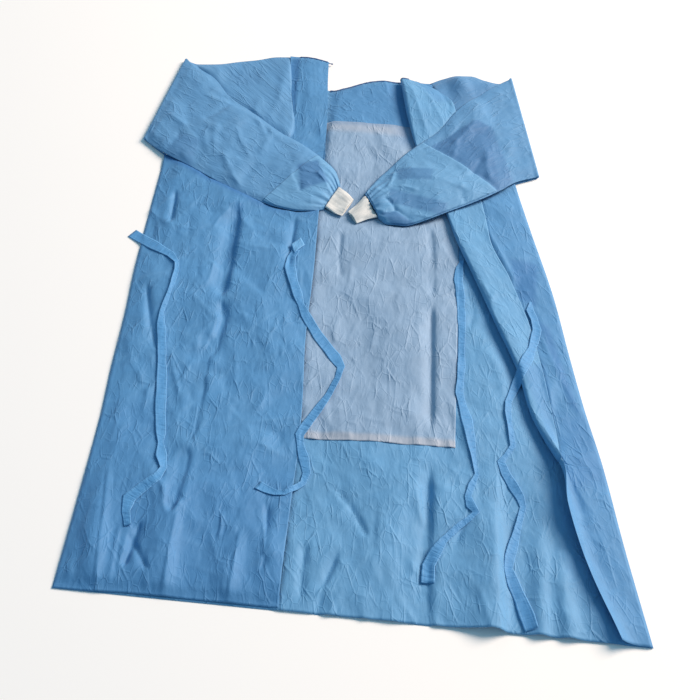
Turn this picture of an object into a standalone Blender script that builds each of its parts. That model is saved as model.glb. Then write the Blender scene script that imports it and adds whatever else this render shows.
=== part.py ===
# Surgical gown of nonwoven cloth, laid flat with its back panels and sleeves folded over the front.
# Lengths in the tables are millimetres: x to the right, up from the hem to the neck, z above the surface.
# The finished solids are in metres, with the origin under the middle of the gown, on the surface it lies on.

from collections import namedtuple

import bpy
import numpy as np
from mathutils import Vector
from mathutils.bvhtree import BVHTree

MM = 0.001
LENGTH = 1214.0

# Walls and the gaps between layers
WALL = 1.2
PANEL_WALL = 1.0
KNIT_WALL = 1.4
TIE_WALL = 1.0
SEAM = 1.0
LAYER_GAP = 0.4
SLEEVE_SLOT = 0.6
ON_SLEEVE = 0.8

# Heights of the undersides of the layers, and how far the right forearm rises to cross the turned panel
REINFORCEMENT_Z = 1.5
BACK_Z = 2.9
FOREARM_Z = 4.9
CROSSING_RISE = 6.3
CUFF_Z = 4.4

# Sizes of the small pieces
TIE_WIDTH = 19.0
TIE_STEP = 20.0
TIE_SLOPE = 0.6
BINDING_WIDTH = 6.0
BINDING_LIP = 1.5
BINDING_CLEAR = 0.5
RIB_COUNT = 20
RIB_DEPTH = 0.7
CUFF_HALF_HEIGHT = 3.4
GATHERS = 7
GATHER_DEPTH = 3.2

# Outline below the underarms: where each edge lies at a height above the hem
Body = namedtuple("Body", "up left_side left_free right_side")
BODY = [
    Body(0, -378, -59, 454),
    Body(150, -379, -64, 420),
    Body(290, -381, -68, 391),
    Body(400, -387, -77, 363),
    Body(500, -390, -86, 341),
    Body(620, -397, -90, 316),
    Body(776, -401, -100, 274),
    Body(893, -403, -106, 243),
]

# The armholes, from the underarm to the shoulder point, and the free edge of the left back panel beside them
Armhole = namedtuple("Armhole", "left_x left_up right_x right_up free_x free_up")
ARMHOLES = [
    Armhole(-405, 902, 243, 893, -107, 905),
    Armhole(-320, 906, 218, 903, -107, 912),
    Armhole(-240, 922, 190, 922, -108, 930),
    Armhole(-192, 950, 160, 952, -111, 958),
    Armhole(-176, 988, 130, 1005, -114, 1000),
    Armhole(-183, 1040, 108, 1060, -119, 1060),
    Armhole(-199, 1120, 90, 1112, -128, 1135),
    Armhole(-213, 1214, 72, 1162, -134, 1199),
]

# The right back panel: its rounded turn, and its free edge turned back like a lapel
Turn = namedtuple("Turn", "up centre free radius angle edge_z")
TURNS = [
    Turn(0, 438, 409, 38, 48, 0),
    Turn(100, 395, 368, 34, 52, 0),
    Turn(200, 362, 336, 26, 78, 0),
    Turn(265, 343, 330, 14, 125, 0),
    Turn(320, 313, 324, 10, 180, 8.0),
    Turn(370, 290, 315, 9.5, 180, 6.6),
    Turn(450, 268, 300, 9, 180, 5.9),
    Turn(550, 228, 277, 9, 180, 5.9),
    Turn(650, 187.5, 242, 8.5, 180, 5.9),
    Turn(740, 149, 204, 6.5, 180, 5.9),
    Turn(790, 130, 195, 3.5, 180, 5.9),
    Turn(960, 62.3, 155, 3.2, 180, 5.9),
    Turn(1050, 37, 130, 3.4, 180, 5.9),
    Turn(1100, 24.5, 118, 5, 180, 6.3),
    Turn(1134, 16, 84, 5, 180, 6.6),
    Turn(1156, 10, 45, 4.2, 180, 6.4),
]

# The sleeves from the fold at their outer end to the wrist, at even steps
Forearm = namedtuple("Forearm", "upper_x upper_up lower_x lower_up puff")
LEFT_FOREARM = [
    Forearm(-420, 1180, -452, 936, 0),
    Forearm(-355, 1130, -403, 898, 3),
    Forearm(-309, 1070, -340, 861, 4),
    Forearm(-255, 1028, -280, 825, 5),
    Forearm(-202, 983, -222, 796, 6),
    Forearm(-150, 949, -176, 778, 9),
    Forearm(-110, 915, -138, 772, 13),
    Forearm(-82, 883, -111, 776, 11),
    Forearm(-70, 850, -92, 785, 3),
]
RIGHT_FOREARM = [
    Forearm(229, 1190, 287, 913, 0),
    Forearm(190, 1155, 247, 893, 3),
    Forearm(155, 1112, 214, 857, 4),
    Forearm(124, 1067, 172, 824, 5),
    Forearm(97, 1010, 131, 797, 6),
    Forearm(56, 961, 90, 771, 9),
    Forearm(23, 916, 50, 757, 13),
    Forearm(-6, 872, 24, 758, 11),
    Forearm(-26, 830, 6, 772, 3),
]

# Rings of the forearms, from the fold to the wrist, and how far along the second layer starts and ends
FOREARM_RINGS = [0.07, 0.15, 0.25, 0.35, 0.45, 0.55, 0.65, 0.74, 0.82, 0.89, 0.95, 1.0]
SECOND_LAYER_ENDS = 0.985
Second = namedtuple("Second", "at_upper_edge at_lower_edge")
LEFT_SECOND = Second(0.64, 0.53)
RIGHT_SECOND = Second(0.56, 0.24)

# How far a sleeve's top edge bends off the straight line, and how high it stands, from fold to shoulder
Shoulder = namedtuple("Shoulder", "along left_bend right_bend right_rise")
SHOULDERS = [
    Shoulder(0.0, 0, 0, 0),
    Shoulder(0.12, -12, -9, 0),
    Shoulder(0.32, -14, 3, 0),
    Shoulder(0.5, -9, 18, 2),
    Shoulder(0.68, -5, 19, 10),
    Shoulder(0.85, 2, 12, 2),
    Shoulder(1.0, 0, 0, 0),
]

# How far the front neckline dips below the line from shoulder to shoulder
Neckline = namedtuple("Neckline", "across dip")
NECKLINE = [
    Neckline(0, 0),
    Neckline(0.1, 3),
    Neckline(0.2, 56),
    Neckline(0.27, 78),
    Neckline(0.33, 79),
    Neckline(0.42, 66),
    Neckline(0.5, 50),
    Neckline(0.61, 31),
    Neckline(0.75, 18),
    Neckline(0.88, 9),
    Neckline(1, 0),
]
NECK_DIP_FROM = 980

# The pale panel on the inner face of the front
Reinforced = namedtuple("Reinforced", "up left right pucker")
REINFORCED = [
    Reinforced(287, -178, 169, 0),
    Reinforced(292, -178, 169, 0.7),
    Reinforced(302, -178, 168, 0.4),
    Reinforced(500, -178, 160, 0),
    Reinforced(740, -177, 150, 0),
    Reinforced(900, -174, 143, 0),
    Reinforced(980, -168, 130, 0),
    Reinforced(1024, -163, 106, 0),
]
REINFORCED_TILT = 8
PUCKERS = 14
PUCKERS_FROM_X = -50

# Soft folds that stand up from a panel
Fold = namedtuple("Fold", "top_x top_up foot_x foot_up height left_width right_width")
FRONT_FOLDS = [
    Fold(224, 340, 243, 0, 13, 42, 11),
    Fold(296, 230, 303, 0, 7, 14, 12),
    Fold(324, 160, 342, 0, 6, 12, 14),
    Fold(76, 300, 100, 0, 2.5, 26, 14),
]
LEFT_BACK_FOLDS = [
    Fold(-346, 190, -319, 0, 7, 22, 15),
    Fold(-238, 260, -225, 0, 8, 30, 14),
    Fold(-130, 150, -133, 0, 6, 24, 14),
    Fold(-241, 600, -236, 180, 3.5, 26, 18),
]

# The ties: points of each centreline
Point = namedtuple("Point", "x up")
TIE_1 = [
    Point(-421, 698),
    Point(-380, 676),
    Point(-341, 654),
    Point(-327, 634),
    Point(-327, 553),
    Point(-328, 508),
    Point(-325, 480),
    Point(-314, 451),
    Point(-301, 380),
    Point(-292, 322),
    Point(-282, 275),
    Point(-264, 215),
    Point(-281, 187),
    Point(-305, 153),
    Point(-306, 133),
    Point(-298, 110),
]
TIE_2 = [
    Point(-133, 672),
    Point(-131, 627),
    Point(-110, 572),
    Point(-79, 516),
    Point(-43, 466),
    Point(-21, 437),
    Point(-34, 396),
    Point(-59, 338),
    Point(-74, 300),
    Point(-65, 271),
    Point(-52, 226),
    Point(-60, 203),
    Point(-82, 193),
    Point(-103, 198),
    Point(-122, 206),
]
TIE_2_PATCH = [Point(-139, 697), Point(-123, 712), Point(-114, 694), Point(-130, 679)]
TIE_3 = [
    Point(155, 676),
    Point(156, 650),
    Point(157, 615),
    Point(166, 539),
    Point(174, 463),
    Point(173, 406),
    Point(179, 375),
    Point(192, 340),
    Point(197, 300),
    Point(203, 258),
    Point(197, 218),
    Point(193, 192),
    Point(178, 165),
    Point(160, 139),
    Point(141, 102),
    Point(139, 60),
]
TIE_4 = [
    Point(247, 638),
    Point(273, 612),
    Point(288, 561),
    Point(284, 511),
    Point(266, 453),
    Point(246, 393),
    Point(252, 343),
    Point(256, 308),
    Point(239, 284),
    Point(244, 262),
    Point(273, 209),
    Point(266, 166),
    Point(254, 110),
    Point(273, 53),
    Point(290, 8),
]

# The knit cuffs: both ends of the seam line and of the open end
Cuff = namedtuple("Cuff", "seam_upper seam_lower end_upper end_lower")
LEFT_CUFF = Cuff(Point(-71.4, 843.8), Point(-90.8, 786.4), Point(-42, 815), Point(-59, 770))
RIGHT_CUFF = Cuff(Point(-23.6, 824.2), Point(3.7, 775), Point(-49, 782), Point(-31, 755))


def smooth(at, xs, ys):
    """The height of a smooth curve through a table at some places, with no overshoot between its rows."""
    xs, ys, at = np.asarray(xs, float), np.asarray(ys, float), np.asarray(at, float)
    steps = np.diff(xs)
    rises = np.diff(ys) / steps
    both = rises[:-1] * rises[1:]
    sums = np.where(both > 0, rises[:-1] + rises[1:], 1.0)
    slopes = np.concatenate([rises[:1], np.where(both > 0, 2 * both / sums, 0.0), rises[-1:]])
    i = np.clip(np.searchsorted(xs, at, side="right") - 1, 0, len(steps) - 1)
    t = np.clip((at - xs[i]) / steps[i], 0, 1)
    start = (1 + 2 * t) * (1 - t) ** 2 * ys[i] + t * (1 - t) ** 2 * steps[i] * slopes[i]
    end = t**2 * (3 - 2 * t) * ys[i + 1] - t**2 * (1 - t) * steps[i] * slopes[i + 1]
    return start + end


def column(table, name):
    """One named column of a table."""
    return np.array([getattr(row, name) for row in table], float)


def read(table, key, name, at):
    """A table's column as a smooth curve over its key column."""
    return smooth(at, column(table, key), column(table, name))


def ease(value, start, end):
    """Rises softly from 0 at start to 1 at end."""
    t = np.clip((np.asarray(value, float) - start) / (end - start), 0, 1)
    return t * t * (3 - 2 * t)


def unit(vectors):
    """Vectors of length one."""
    vectors = np.asarray(vectors, float)
    return vectors / np.linalg.norm(vectors, axis=-1, keepdims=True)


def fold_height(folds, x, up):
    """How high the folds of a panel stand at a place."""
    height = np.zeros(np.broadcast(x, up).shape)
    for fold in folds:
        long = fold.top_up - fold.foot_up
        along = np.clip((fold.top_up - up) / long, 0, 1)
        off = x - (fold.top_x + (fold.foot_x - fold.top_x) * along)
        width = np.where(off < 0, fold.left_width, fold.right_width)
        rise = ease(along, 0, 0.75)
        if fold.foot_up > 0:
            rise = rise * ease(up, fold.foot_up - 0.3 * long, fold.foot_up)
        height = height + fold.height * rise * np.exp(-((off / width) ** 2))
    return height


def front_z(x, up):
    """The underside of the front panel: on the surface, apart from its folds."""
    return fold_height(FRONT_FOLDS, x, up)


def left_back_z(x, up):
    """The underside of the left back panel."""
    return BACK_Z + fold_height(LEFT_BACK_FOLDS, x, up)


def edge_rows(name_x, name_up, side, body_ups):
    """Points up one side of a body panel: along its side edge, then along an armhole or free edge."""
    body = [(float(read(BODY, "up", side, up)), float(up)) for up in body_ups]
    upper = [(getattr(row, name_x), getattr(row, name_up)) for row in ARMHOLES]
    return np.array(body + upper, float)


def between(left, right, across):
    """A grid of places between two edges."""
    u = np.asarray(across, float)[None, :, None]
    return left[:, None] * (1 - u) + right[:, None] * u


def slope_normals(height, plan):
    """The normals of a surface given by its height at each place."""
    x, up = plan[..., 0], plan[..., 1]
    step = 0.5
    slope_x = (height(x + step, up) - height(x - step, up)) / (2 * step)
    slope_up = (height(x, up + step) - height(x, up - step)) / (2 * step)
    return unit(np.stack([-slope_x, -slope_up, np.ones_like(x)], axis=-1))


def grid_normals(grid):
    """The normals of a grid of points, from its neighbours."""
    return unit(np.cross(np.gradient(grid, axis=1), np.gradient(grid, axis=0)))


def object_of(name, points, faces, finish):
    """A closed mesh object from points in table millimetres, with its faces turned outwards."""
    metres = (np.asarray(points, float) - [0, LENGTH / 2, 0]) * MM
    mesh = bpy.data.meshes.new(name)
    mesh.from_pydata(metres.tolist(), [], faces)
    corners = metres[np.array([face[:3] for face in faces])]
    if np.linalg.det(corners).sum() < 0:
        mesh.flip_normals()
    mesh.shade_smooth()
    mesh.set_sharp_from_angle(angle=np.radians(50))
    mesh.materials.append(finish)
    obj = bpy.data.objects.new(name, mesh)
    bpy.context.scene.collection.objects.link(obj)
    return obj


def sheet(name, under, normals, thickness, finish):
    """A cloth wall on a grid of points of one side; the points of its other side are moved out."""
    rows, columns = under.shape[:2]
    over = under + normals * thickness
    points = np.concatenate([under.reshape(-1, 3), over.reshape(-1, 3)])
    index = np.arange(rows * columns).reshape(rows, columns).tolist()
    shift = rows * columns
    faces = []
    for low, high in zip(index, index[1:]):
        for a, b, c, d in zip(low, low[1:], high[1:], high):
            faces += [(a, d, c), (a, c, b)]
            faces += [(a + shift, b + shift, c + shift), (a + shift, c + shift, d + shift)]
    right_side = [row[-1] for row in index[1:]]
    left_side = [row[0] for row in index[-2:0:-1]]
    rim = index[0] + right_side + index[-1][-2::-1] + left_side
    for a, b in zip(rim, rim[1:] + rim[:1]):
        faces += [(a, b, b + shift), (a, b + shift, a + shift)]
    return object_of(name, points, faces, finish)


def bridge(first, second, first_turns, second_turns):
    """Triangles between two loops of point numbers; the turns say how far round each point is."""
    first_ends = [*first_turns[1:], 1.0]
    second_ends = [*second_turns[1:], 1.0]
    faces, i, j = [], 0, 0
    while i < len(first) or j < len(second):
        a, b = first[i % len(first)], second[j % len(second)]
        if j >= len(second) or (i < len(first) and first_ends[i] <= second_ends[j]):
            faces.append((a, first[(i + 1) % len(first)], b))
            i += 1
        else:
            faces.append((a, second[(j + 1) % len(second)], b))
            j += 1
    return faces


def tube(name, outer, inner, outer_turns, inner_turns, finish):
    """A tube wall, open at both ends, from rings of outer points and rings of inner points."""
    points, loops = [], []
    for ring in outer + inner:
        loops.append(list(range(len(points), len(points) + len(ring))))
        points += list(ring)
    outside, inside = loops[: len(outer)], loops[len(outer) :]
    faces = []
    for a, b in zip(outside, outside[1:]):
        faces += bridge(a, b, outer_turns, outer_turns)
    for a, b in zip(inside, inside[1:]):
        faces += [face[::-1] for face in bridge(a, b, inner_turns, inner_turns)]
    faces += [face[::-1] for face in bridge(outside[0], inside[0], outer_turns, inner_turns)]
    faces += bridge(outside[-1], inside[-1], outer_turns, inner_turns)
    return object_of(name, points, faces, finish)


def strip(name, sections, finish):
    """A long solid through equal closed sections."""
    count = len(sections[0])
    loops = [[count * i + k for k in range(count)] for i in range(len(sections))]
    faces = [tuple(loops[0][::-1]), tuple(loops[-1])]
    for a, b in zip(loops, loops[1:]):
        for k in range(count):
            n = (k + 1) % count
            if 2 * k < count:
                faces += [(a[k], a[n], b[n]), (a[k], b[n], b[k])]
            else:
                faces += [(a[k], a[n], b[k]), (a[n], b[n], b[k])]
    return object_of(name, [point for section in sections for point in section], faces, finish)


def front_panel(finish):
    """The whole front with its neckline; its underside lies on the surface."""
    ups = [0, 50, 100, 150, 200, 250, 300, 350, 480, 680, 860]
    across = [0, 0.1, 0.2, 0.27, 0.34, 0.42, 0.5, 0.55, 0.6, 0.68, 0.71, 0.735]
    across += [0.76, 0.79, 0.815, 0.84, 0.865, 0.9, 1]
    left = edge_rows("left_x", "left_up", "left_side", ups)
    right = edge_rows("right_x", "right_up", "right_side", ups)
    plan = between(left, right, across)
    dip = read(NECKLINE, "across", "dip", across)
    plan[..., 1] -= dip * ease(plan[..., 1], NECK_DIP_FROM, plan[-1:, :, 1])
    under = np.dstack([plan, front_z(plan[..., 0], plan[..., 1])])
    panel = sheet("front_panel", under, slope_normals(front_z, plan), WALL, finish)
    return panel, under[-1] + [0, 0, WALL]


def reinforcement_panel(finish):
    """The pale panel on the inner face of the front, with the puckers of its lower seam."""
    across = np.linspace(0, 1, 2 * PUCKERS + 1)
    rows = []
    for row in REINFORCED:
        x = row.left + (row.right - row.left) * across
        lift = row.pucker * (np.arange(len(across)) % 2) * (x > PUCKERS_FROM_X)
        rows.append(np.column_stack([x, row.up + REINFORCED_TILT * across, REINFORCEMENT_Z + lift]))
    straight_up = np.array([0.0, 0.0, 1.0])
    return sheet("reinforcement_panel", np.array(rows), straight_up, PANEL_WALL, finish)


def left_back_panel(finish):
    """The back panel at the left, folded over the front with its outside up."""
    ups = [0, 45, 95, 145, 200, 260, 340, 430, 520, 610, 740, 860]
    across = [0, 0.07, 0.13, 0.2, 0.27, 0.36, 0.42, 0.48, 0.54, 0.6, 0.68, 0.75, 0.81, 0.88, 1]
    left = edge_rows("left_x", "left_up", "left_side", ups)
    right = edge_rows("free_x", "free_up", "left_free", ups)
    plan = between(left, right, across)
    under = np.dstack([plan, left_back_z(plan[..., 0], plan[..., 1])])
    panel = sheet("left_back_panel", under, slope_normals(left_back_z, plan), WALL, finish)
    return panel, under[-1] + [0, 0, WALL]


def right_edge(up):
    """The outer edge of the right back panel: the side edge, then the armhole."""
    if up < ARMHOLES[0].right_up:
        return float(read(BODY, "up", "right_side", up))
    return float(np.interp(up, column(ARMHOLES, "right_up"), column(ARMHOLES, "right_x")))


def turned_section(up, count):
    """The inner face of the right back panel across one row, from its side edge to its free edge."""
    names = ("centre", "free", "radius", "angle", "edge_z")
    centre, free, radius, angle, edge_z = (float(read(TURNS, "up", name, up)) for name in names)
    run = np.linspace(right_edge(up), centre, 30)
    turn = np.linspace(0, np.radians(angle), 40)[1:]
    flat = np.stack([run, np.full(30, BACK_Z)], axis=1)
    arc = np.stack([centre - radius * np.sin(turn), BACK_Z + radius * (1 - np.cos(turn))], axis=1)
    path = np.concatenate([flat, arc])
    if angle > 179:
        crown = path[-1, 1]
        t = np.linspace(0, 1, 40)[1:]
        over = crown + (edge_z - crown) * ease(t, 0, 1.1)
        path = np.concatenate([path, np.stack([centre + (free - centre) * t, over], axis=1)])
    steps = np.diff(path, axis=0)
    heading = np.unwrap(np.arctan2(steps[:, 1], steps[:, 0]))
    bend = np.concatenate([[0], np.abs(np.diff(heading))])
    measure = np.linalg.norm(steps, axis=1) / 26 + bend / np.radians(34)
    reached = np.concatenate([[0], np.cumsum(measure)])
    even = np.linspace(0, reached[-1], count)
    places = np.stack([np.interp(even, reached, path[:, k]) for k in (0, 1)], axis=1)
    return np.column_stack([places[:, 0], np.full(count, float(up)), places[:, 1]])


def right_back_panel(finish):
    """The back panel at the right, folded over the front, then turned back in a soft roll."""
    ups = [0, 65, 130, 190, 235, 270, 295, 320, 350, 400, 470, 550, 630, 700, 745, 790, 850]
    ups += [893, 903, 922, 952, 1005, 1060, 1100, 1134, 1156]
    path = np.array([turned_section(up, 17) for up in ups])[:, ::-1]
    panel = sheet("right_back_panel", path, grid_normals(path), WALL, finish)
    return panel, path[-1]


class SleeveForm:
    """The shape of one flattened sleeve: out from the armhole, round the fold and back to the wrist.

    Places across it go from 0 at its upper edge to 1 at its lower edge. The wall that lies on the surface
    beside the shoulder comes to the top of the forearm.
    """

    def __init__(self, side, forearm):
        self.side = side
        self.forearm = forearm
        self.stack = 2 * WALL + SLEEVE_SLOT
        self.middle = (FOREARM_Z + self.stack) / 2
        names = ("left_x", "left_up") if side < 0 else ("right_x", "right_up")
        armhole = np.stack([column(ARMHOLES, name) for name in names], axis=1)[::-1]
        heading = unit(np.gradient(armhole, axis=0))
        outward = np.stack([heading[:, 1], -heading[:, 0]], axis=1) * -side
        self.armhole = armhole + outward * SEAM
        first = forearm[0]
        fold = np.array([(first.upper_x, first.upper_up), (first.lower_x, first.lower_up)], float)
        down = unit(fold[1] - fold[0])
        self.out = np.array([down[1], -down[0]]) * -side
        self.fold = fold - self.out * self.middle

    def shoulder_plan(self, u, w):
        """Places of the shoulder part, from the fold at w = 0 to the armhole at w = 1."""
        u = np.atleast_1d(u)
        key = np.linspace(0, 1, len(self.armhole))
        on_arm = np.stack([np.interp(u, key, self.armhole[:, k]) for k in (0, 1)], axis=1)
        on_fold = self.fold[0] + (self.fold[1] - self.fold[0]) * u[:, None]
        plan = on_fold + (on_arm - on_fold) * w
        bend = read(SHOULDERS, "along", "left_bend" if self.side < 0 else "right_bend", w)
        plan[:, 1] += bend * (1 - u) ** 3
        return plan

    def shoulder_rise(self, u, w):
        """How far the upper wall of the right shoulder part stands up near its top edge."""
        if self.side < 0:
            return np.zeros_like(u)
        return read(SHOULDERS, "along", "right_rise", w) * ease(u, -0.02, 0.06) * (1 - ease(u, 0.08, 0.24))

    def edge(self, v, edge):
        """The upper or the lower edge of the forearm, from the fold at v = 0 to the wrist at v = 1."""
        key = np.linspace(0, 1, len(self.forearm))
        return np.array([smooth(v, key, column(self.forearm, edge + axis)) for axis in ("_x", "_up")])

    def forearm_plan(self, u, v):
        """Places of the forearm."""
        u = np.atleast_1d(u)
        upper, lower = self.edge(v, "upper"), self.edge(v, "lower")
        return upper + (lower - upper) * u[:, None]

    def forearm_under(self, plan):
        """The underside of the forearm, which rises over the turned panel at the right."""
        height = np.full(len(plan), FOREARM_Z)
        if self.side > 0:
            centre = read(TURNS, "up", "centre", plan[:, 1])
            free = read(TURNS, "up", "free", plan[:, 1])
            climb = ease(plan[:, 0], centre - 85, centre - 28)
            height = height + CROSSING_RISE * climb * (1 - ease(plan[:, 0], free + 25, free + 75))
        return height

    def forearm_over(self, u, v, gathered=True):
        """The top of the forearm, with the gathers near the wrist if they are asked for."""
        key = np.linspace(0, 1, len(self.forearm))
        puff = smooth(v, key, column(self.forearm, "puff"))
        crown = np.sin(np.pi * np.clip(u, 0, 1)) ** 0.8
        z = self.forearm_under(self.forearm_plan(u, v)) + self.stack + puff * crown
        if gathered:
            wave = 0.5 - 0.5 * np.cos(2 * np.pi * GATHERS * u)
            z = z + GATHER_DEPTH * wave * ease(v, 0.7, 0.93) * np.minimum(1, 8 * u * (1 - u))
        return z


def moved_in(plan_of, u, inset):
    """Places across a sleeve, moved in from both of its edges by a distance."""
    step = 0.01
    start, first, last, end = plan_of(np.array([0, step, 1 - step, 1]))
    low = step * inset / np.linalg.norm(first - start)
    high = step * inset / np.linalg.norm(end - last)
    return low + u * (1 - low - high)


def flat_ring(plan_a, z_a, plan_b, z_b, bow):
    """One ring of a flattened tube: an edge, a wall, the other edge, and the other wall back."""
    first = plan_a[0] + unit(plan_a[0] - plan_a[1]) * bow
    last = plan_a[-1] + unit(plan_a[-1] - plan_a[-2]) * bow
    edge_a = [*first, (z_a[0] + z_b[0]) / 2]
    edge_b = [*last, (z_a[-1] + z_b[-1]) / 2]
    wall_a, wall_b = np.column_stack([plan_a, z_a]), np.column_stack([plan_b, z_b])
    return np.concatenate([[edge_a], wall_a, [edge_b], wall_b[::-1]])


def flat_turns(count_a, count_b):
    """How far round a flat ring each of its points is."""
    wall_a = 0.02 + 0.46 * np.linspace(0, 1, count_a)
    wall_b = 0.52 + 0.46 * np.linspace(0, 1, count_b)
    return [0.0, *wall_a, 0.5, *wall_b]


def sleeve(name, form, finish):
    """A sleeve as one flattened tube."""
    coarse = np.linspace(0, 1, len(form.armhole))
    fine = np.linspace(0, 1, 3 * GATHERS + 1)
    half, slot = form.stack / 2, SLEEVE_SLOT / 2
    outer, inner = [], []
    for w in (1.0, 0.85, 0.7, 0.57, 0.44, 0.28, 0.12):
        def place(u, w=w):
            return form.shoulder_plan(u, w)

        a, b = moved_in(place, coarse, half), moved_in(place, fine, half)
        top = form.stack + form.shoulder_rise(a, w)
        outer.append(flat_ring(place(a), top, place(b), np.zeros(len(b)), half))
        c = moved_in(place, coarse, half + WALL)
        top = form.stack - WALL + form.shoulder_rise(c, w)
        inner.append(flat_ring(place(c), top, place(c), np.full(len(c), WALL), slot))
    near, far = form.middle - form.stack, form.middle
    for turn in np.radians([0, 45, 90, 135, 180]):
        def place(u, radius=0.0, turn=turn):
            on_fold = form.fold[0] + (form.fold[1] - form.fold[0]) * np.atleast_1d(u)[:, None]
            return on_fold + form.out * radius * np.sin(turn)

        def level(u, radius, turn=turn):
            return np.full(len(u), form.middle - radius * np.cos(turn))

        a, b = moved_in(place, coarse, half), moved_in(place, fine, half)
        outer.append(flat_ring(place(a, near), level(a, near), place(b, far), level(b, far), half))
        c = moved_in(place, coarse, half + WALL)
        below, above = near + WALL, far - WALL
        inner.append(flat_ring(place(c, below), level(c, below), place(c, above), level(c, above), slot))
    for v in FOREARM_RINGS:
        def place(u, v=v):
            return form.forearm_plan(u, v)

        a, b = moved_in(place, coarse, half), moved_in(place, fine, half)
        low = form.forearm_under(place(a))
        outer.append(flat_ring(place(a), low, place(b), form.forearm_over(b, v), half))
        c = moved_in(place, coarse, half + WALL)
        low = form.forearm_under(place(c)) + WALL
        high = np.maximum(form.forearm_over(c, v, gathered=False) - WALL, low + SLEEVE_SLOT)
        inner.append(flat_ring(place(c), low, place(c), high, slot))
    outer_turns, inner_turns = flat_turns(len(coarse), len(fine)), flat_turns(len(coarse), len(coarse))
    return tube(name, outer, inner, outer_turns, inner_turns, finish)


def sleeve_reinforcement(name, form, second, finish):
    """The second layer of a forearm, from its straight edge to the gathers, made from the sleeve's top."""
    fine = np.linspace(0, 1, 3 * GATHERS + 1)
    rings = []
    for v in FOREARM_RINGS:
        across = moved_in(lambda u, v=v: form.forearm_plan(u, v), fine, form.stack / 2)
        rings.append(np.column_stack([form.forearm_plan(across, v), form.forearm_over(across, v)]))
    rings = np.array(rings)

    def on_top(k, v):
        """The place on the sleeve's top at column k, on the straight line between two of its rings."""
        return [np.interp(v, FOREARM_RINGS, rings[:, k, axis]) for axis in range(3)]

    starts = second.at_upper_edge + (second.at_lower_edge - second.at_upper_edge) * fine
    levels = [min(starts)] + [v for v in FOREARM_RINGS if min(starts) + 0.03 < v < SECOND_LAYER_ENDS]
    levels.append(SECOND_LAYER_ENDS)
    columns = range(1, len(fine) - 1)
    rows = []
    for i, level in enumerate(levels):
        rows.append([on_top(k, max(level, starts[k] + 0.012 * i)) for k in columns])
    grid = np.array(rows)[:, :: int(form.side)] + [0, 0, ON_SLEEVE]
    return sheet(name, grid, np.array([0.0, 0.0, 1.0]), PANEL_WALL, finish)


def cuff(name, ends, finish):
    """A flattened tube of rib knit, with its ribs raised on the outside."""
    count = 2 * RIB_COUNT
    ribbed = np.linspace(0, 2 * np.pi, count, endpoint=False)
    plain = np.linspace(0, 2 * np.pi, 16, endpoint=False)
    rib = RIB_DEPTH * (np.arange(count) % 2)
    outer, inner = [], []
    for t in (0.0, 0.35, 0.7, 1.0):
        upper = np.array(ends.seam_upper) * (1 - t) + np.array(ends.end_upper) * t
        lower = np.array(ends.seam_lower) * (1 - t) + np.array(ends.end_lower) * t
        middle, half = (upper + lower) / 2, np.linalg.norm(lower - upper) / 2
        across = unit(lower - upper)
        high = CUFF_HALF_HEIGHT - 0.8 * t
        level = CUFF_Z + CUFF_HALF_HEIGHT - 0.5 * t
        for rings, angles, inset in ((outer, ribbed, rib), (inner, plain, KNIT_WALL + RIB_DEPTH)):
            flat = np.sign(np.cos(angles)) * np.abs(np.cos(angles)) ** 0.8 * (half - inset)
            rise = np.sign(np.sin(angles)) * np.abs(np.sin(angles)) ** 0.7 * (high - inset)
            rings.append(np.column_stack([middle + across * flat[:, None], level + rise]))
    return tube(name, outer, inner, ribbed / (2 * np.pi), plain / (2 * np.pi), finish)


def height_over(objects):
    """A function that gives how high the finished pieces reach at a place."""
    trees = [
        BVHTree.FromPolygons([v.co for v in o.data.vertices], [tuple(p.vertices) for p in o.data.polygons])
        for o in objects
    ]
    down = Vector((0, 0, -1))

    def height(place):
        start = Vector((place[0] * MM, (place[1] - LENGTH / 2) * MM, 0.2))
        hits = [tree.ray_cast(start, down)[0] for tree in trees]
        return max([hit.z / MM for hit in hits if hit is not None], default=0.0)

    return height


def spaced(points, step):
    """Places at even steps along a smooth curve through a list of points."""
    points = np.array([(p.x, p.up) for p in points], float)
    along = np.concatenate([[0], np.cumsum(np.linalg.norm(np.diff(points, axis=0), axis=1))])
    at = np.linspace(0, along[-1], int(round(along[-1] / step)) + 1)
    return np.stack([smooth(at, along, points[:, k]) for k in (0, 1)], axis=1)


def tie(name, points, height, finish):
    """A flat tie that lies on whatever is below it and bridges steep steps."""
    line = spaced(points, TIE_STEP)
    heading = unit(np.gradient(line, axis=0))
    side = np.stack([-heading[:, 1], heading[:, 0]], axis=1)
    offsets = np.linspace(-0.55, 0.55, 5) * TIE_WIDTH
    stretches = []
    for a, b, s, t in zip(line, line[1:], side, side[1:]):
        places = [(a + s * o) * (1 - f) + (b + t * o) * f for o in offsets for f in np.linspace(0, 1, 6)]
        stretches.append(max(height(place) for place in places))
    z = np.maximum(stretches[:1] + stretches, stretches + stretches[-1:]) + LAYER_GAP
    most = TIE_SLOPE * TIE_STEP
    for i in range(1, len(z)):
        z[i] = max(z[i], z[i - 1] - most)
    for i in range(len(z) - 2, -1, -1):
        z[i] = max(z[i], z[i + 1] - most)
    sections = []
    for a, b, low in zip(line + side * TIE_WIDTH / 2, line - side * TIE_WIDTH / 2, z):
        sections.append([(*a, low), (*b, low), (*b, low + TIE_WALL), (*a, low + TIE_WALL)])
    return strip(name, sections, finish)


def tie_patch(name, corners, height, finish):
    """The small stitched square where a tie is sewn on."""
    low = max(height(corner) for corner in corners) + LAYER_GAP
    sections = [[(*corner, z) for corner in corners] for z in (low, low + TIE_WALL)]
    return strip(name, sections, finish)


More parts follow.
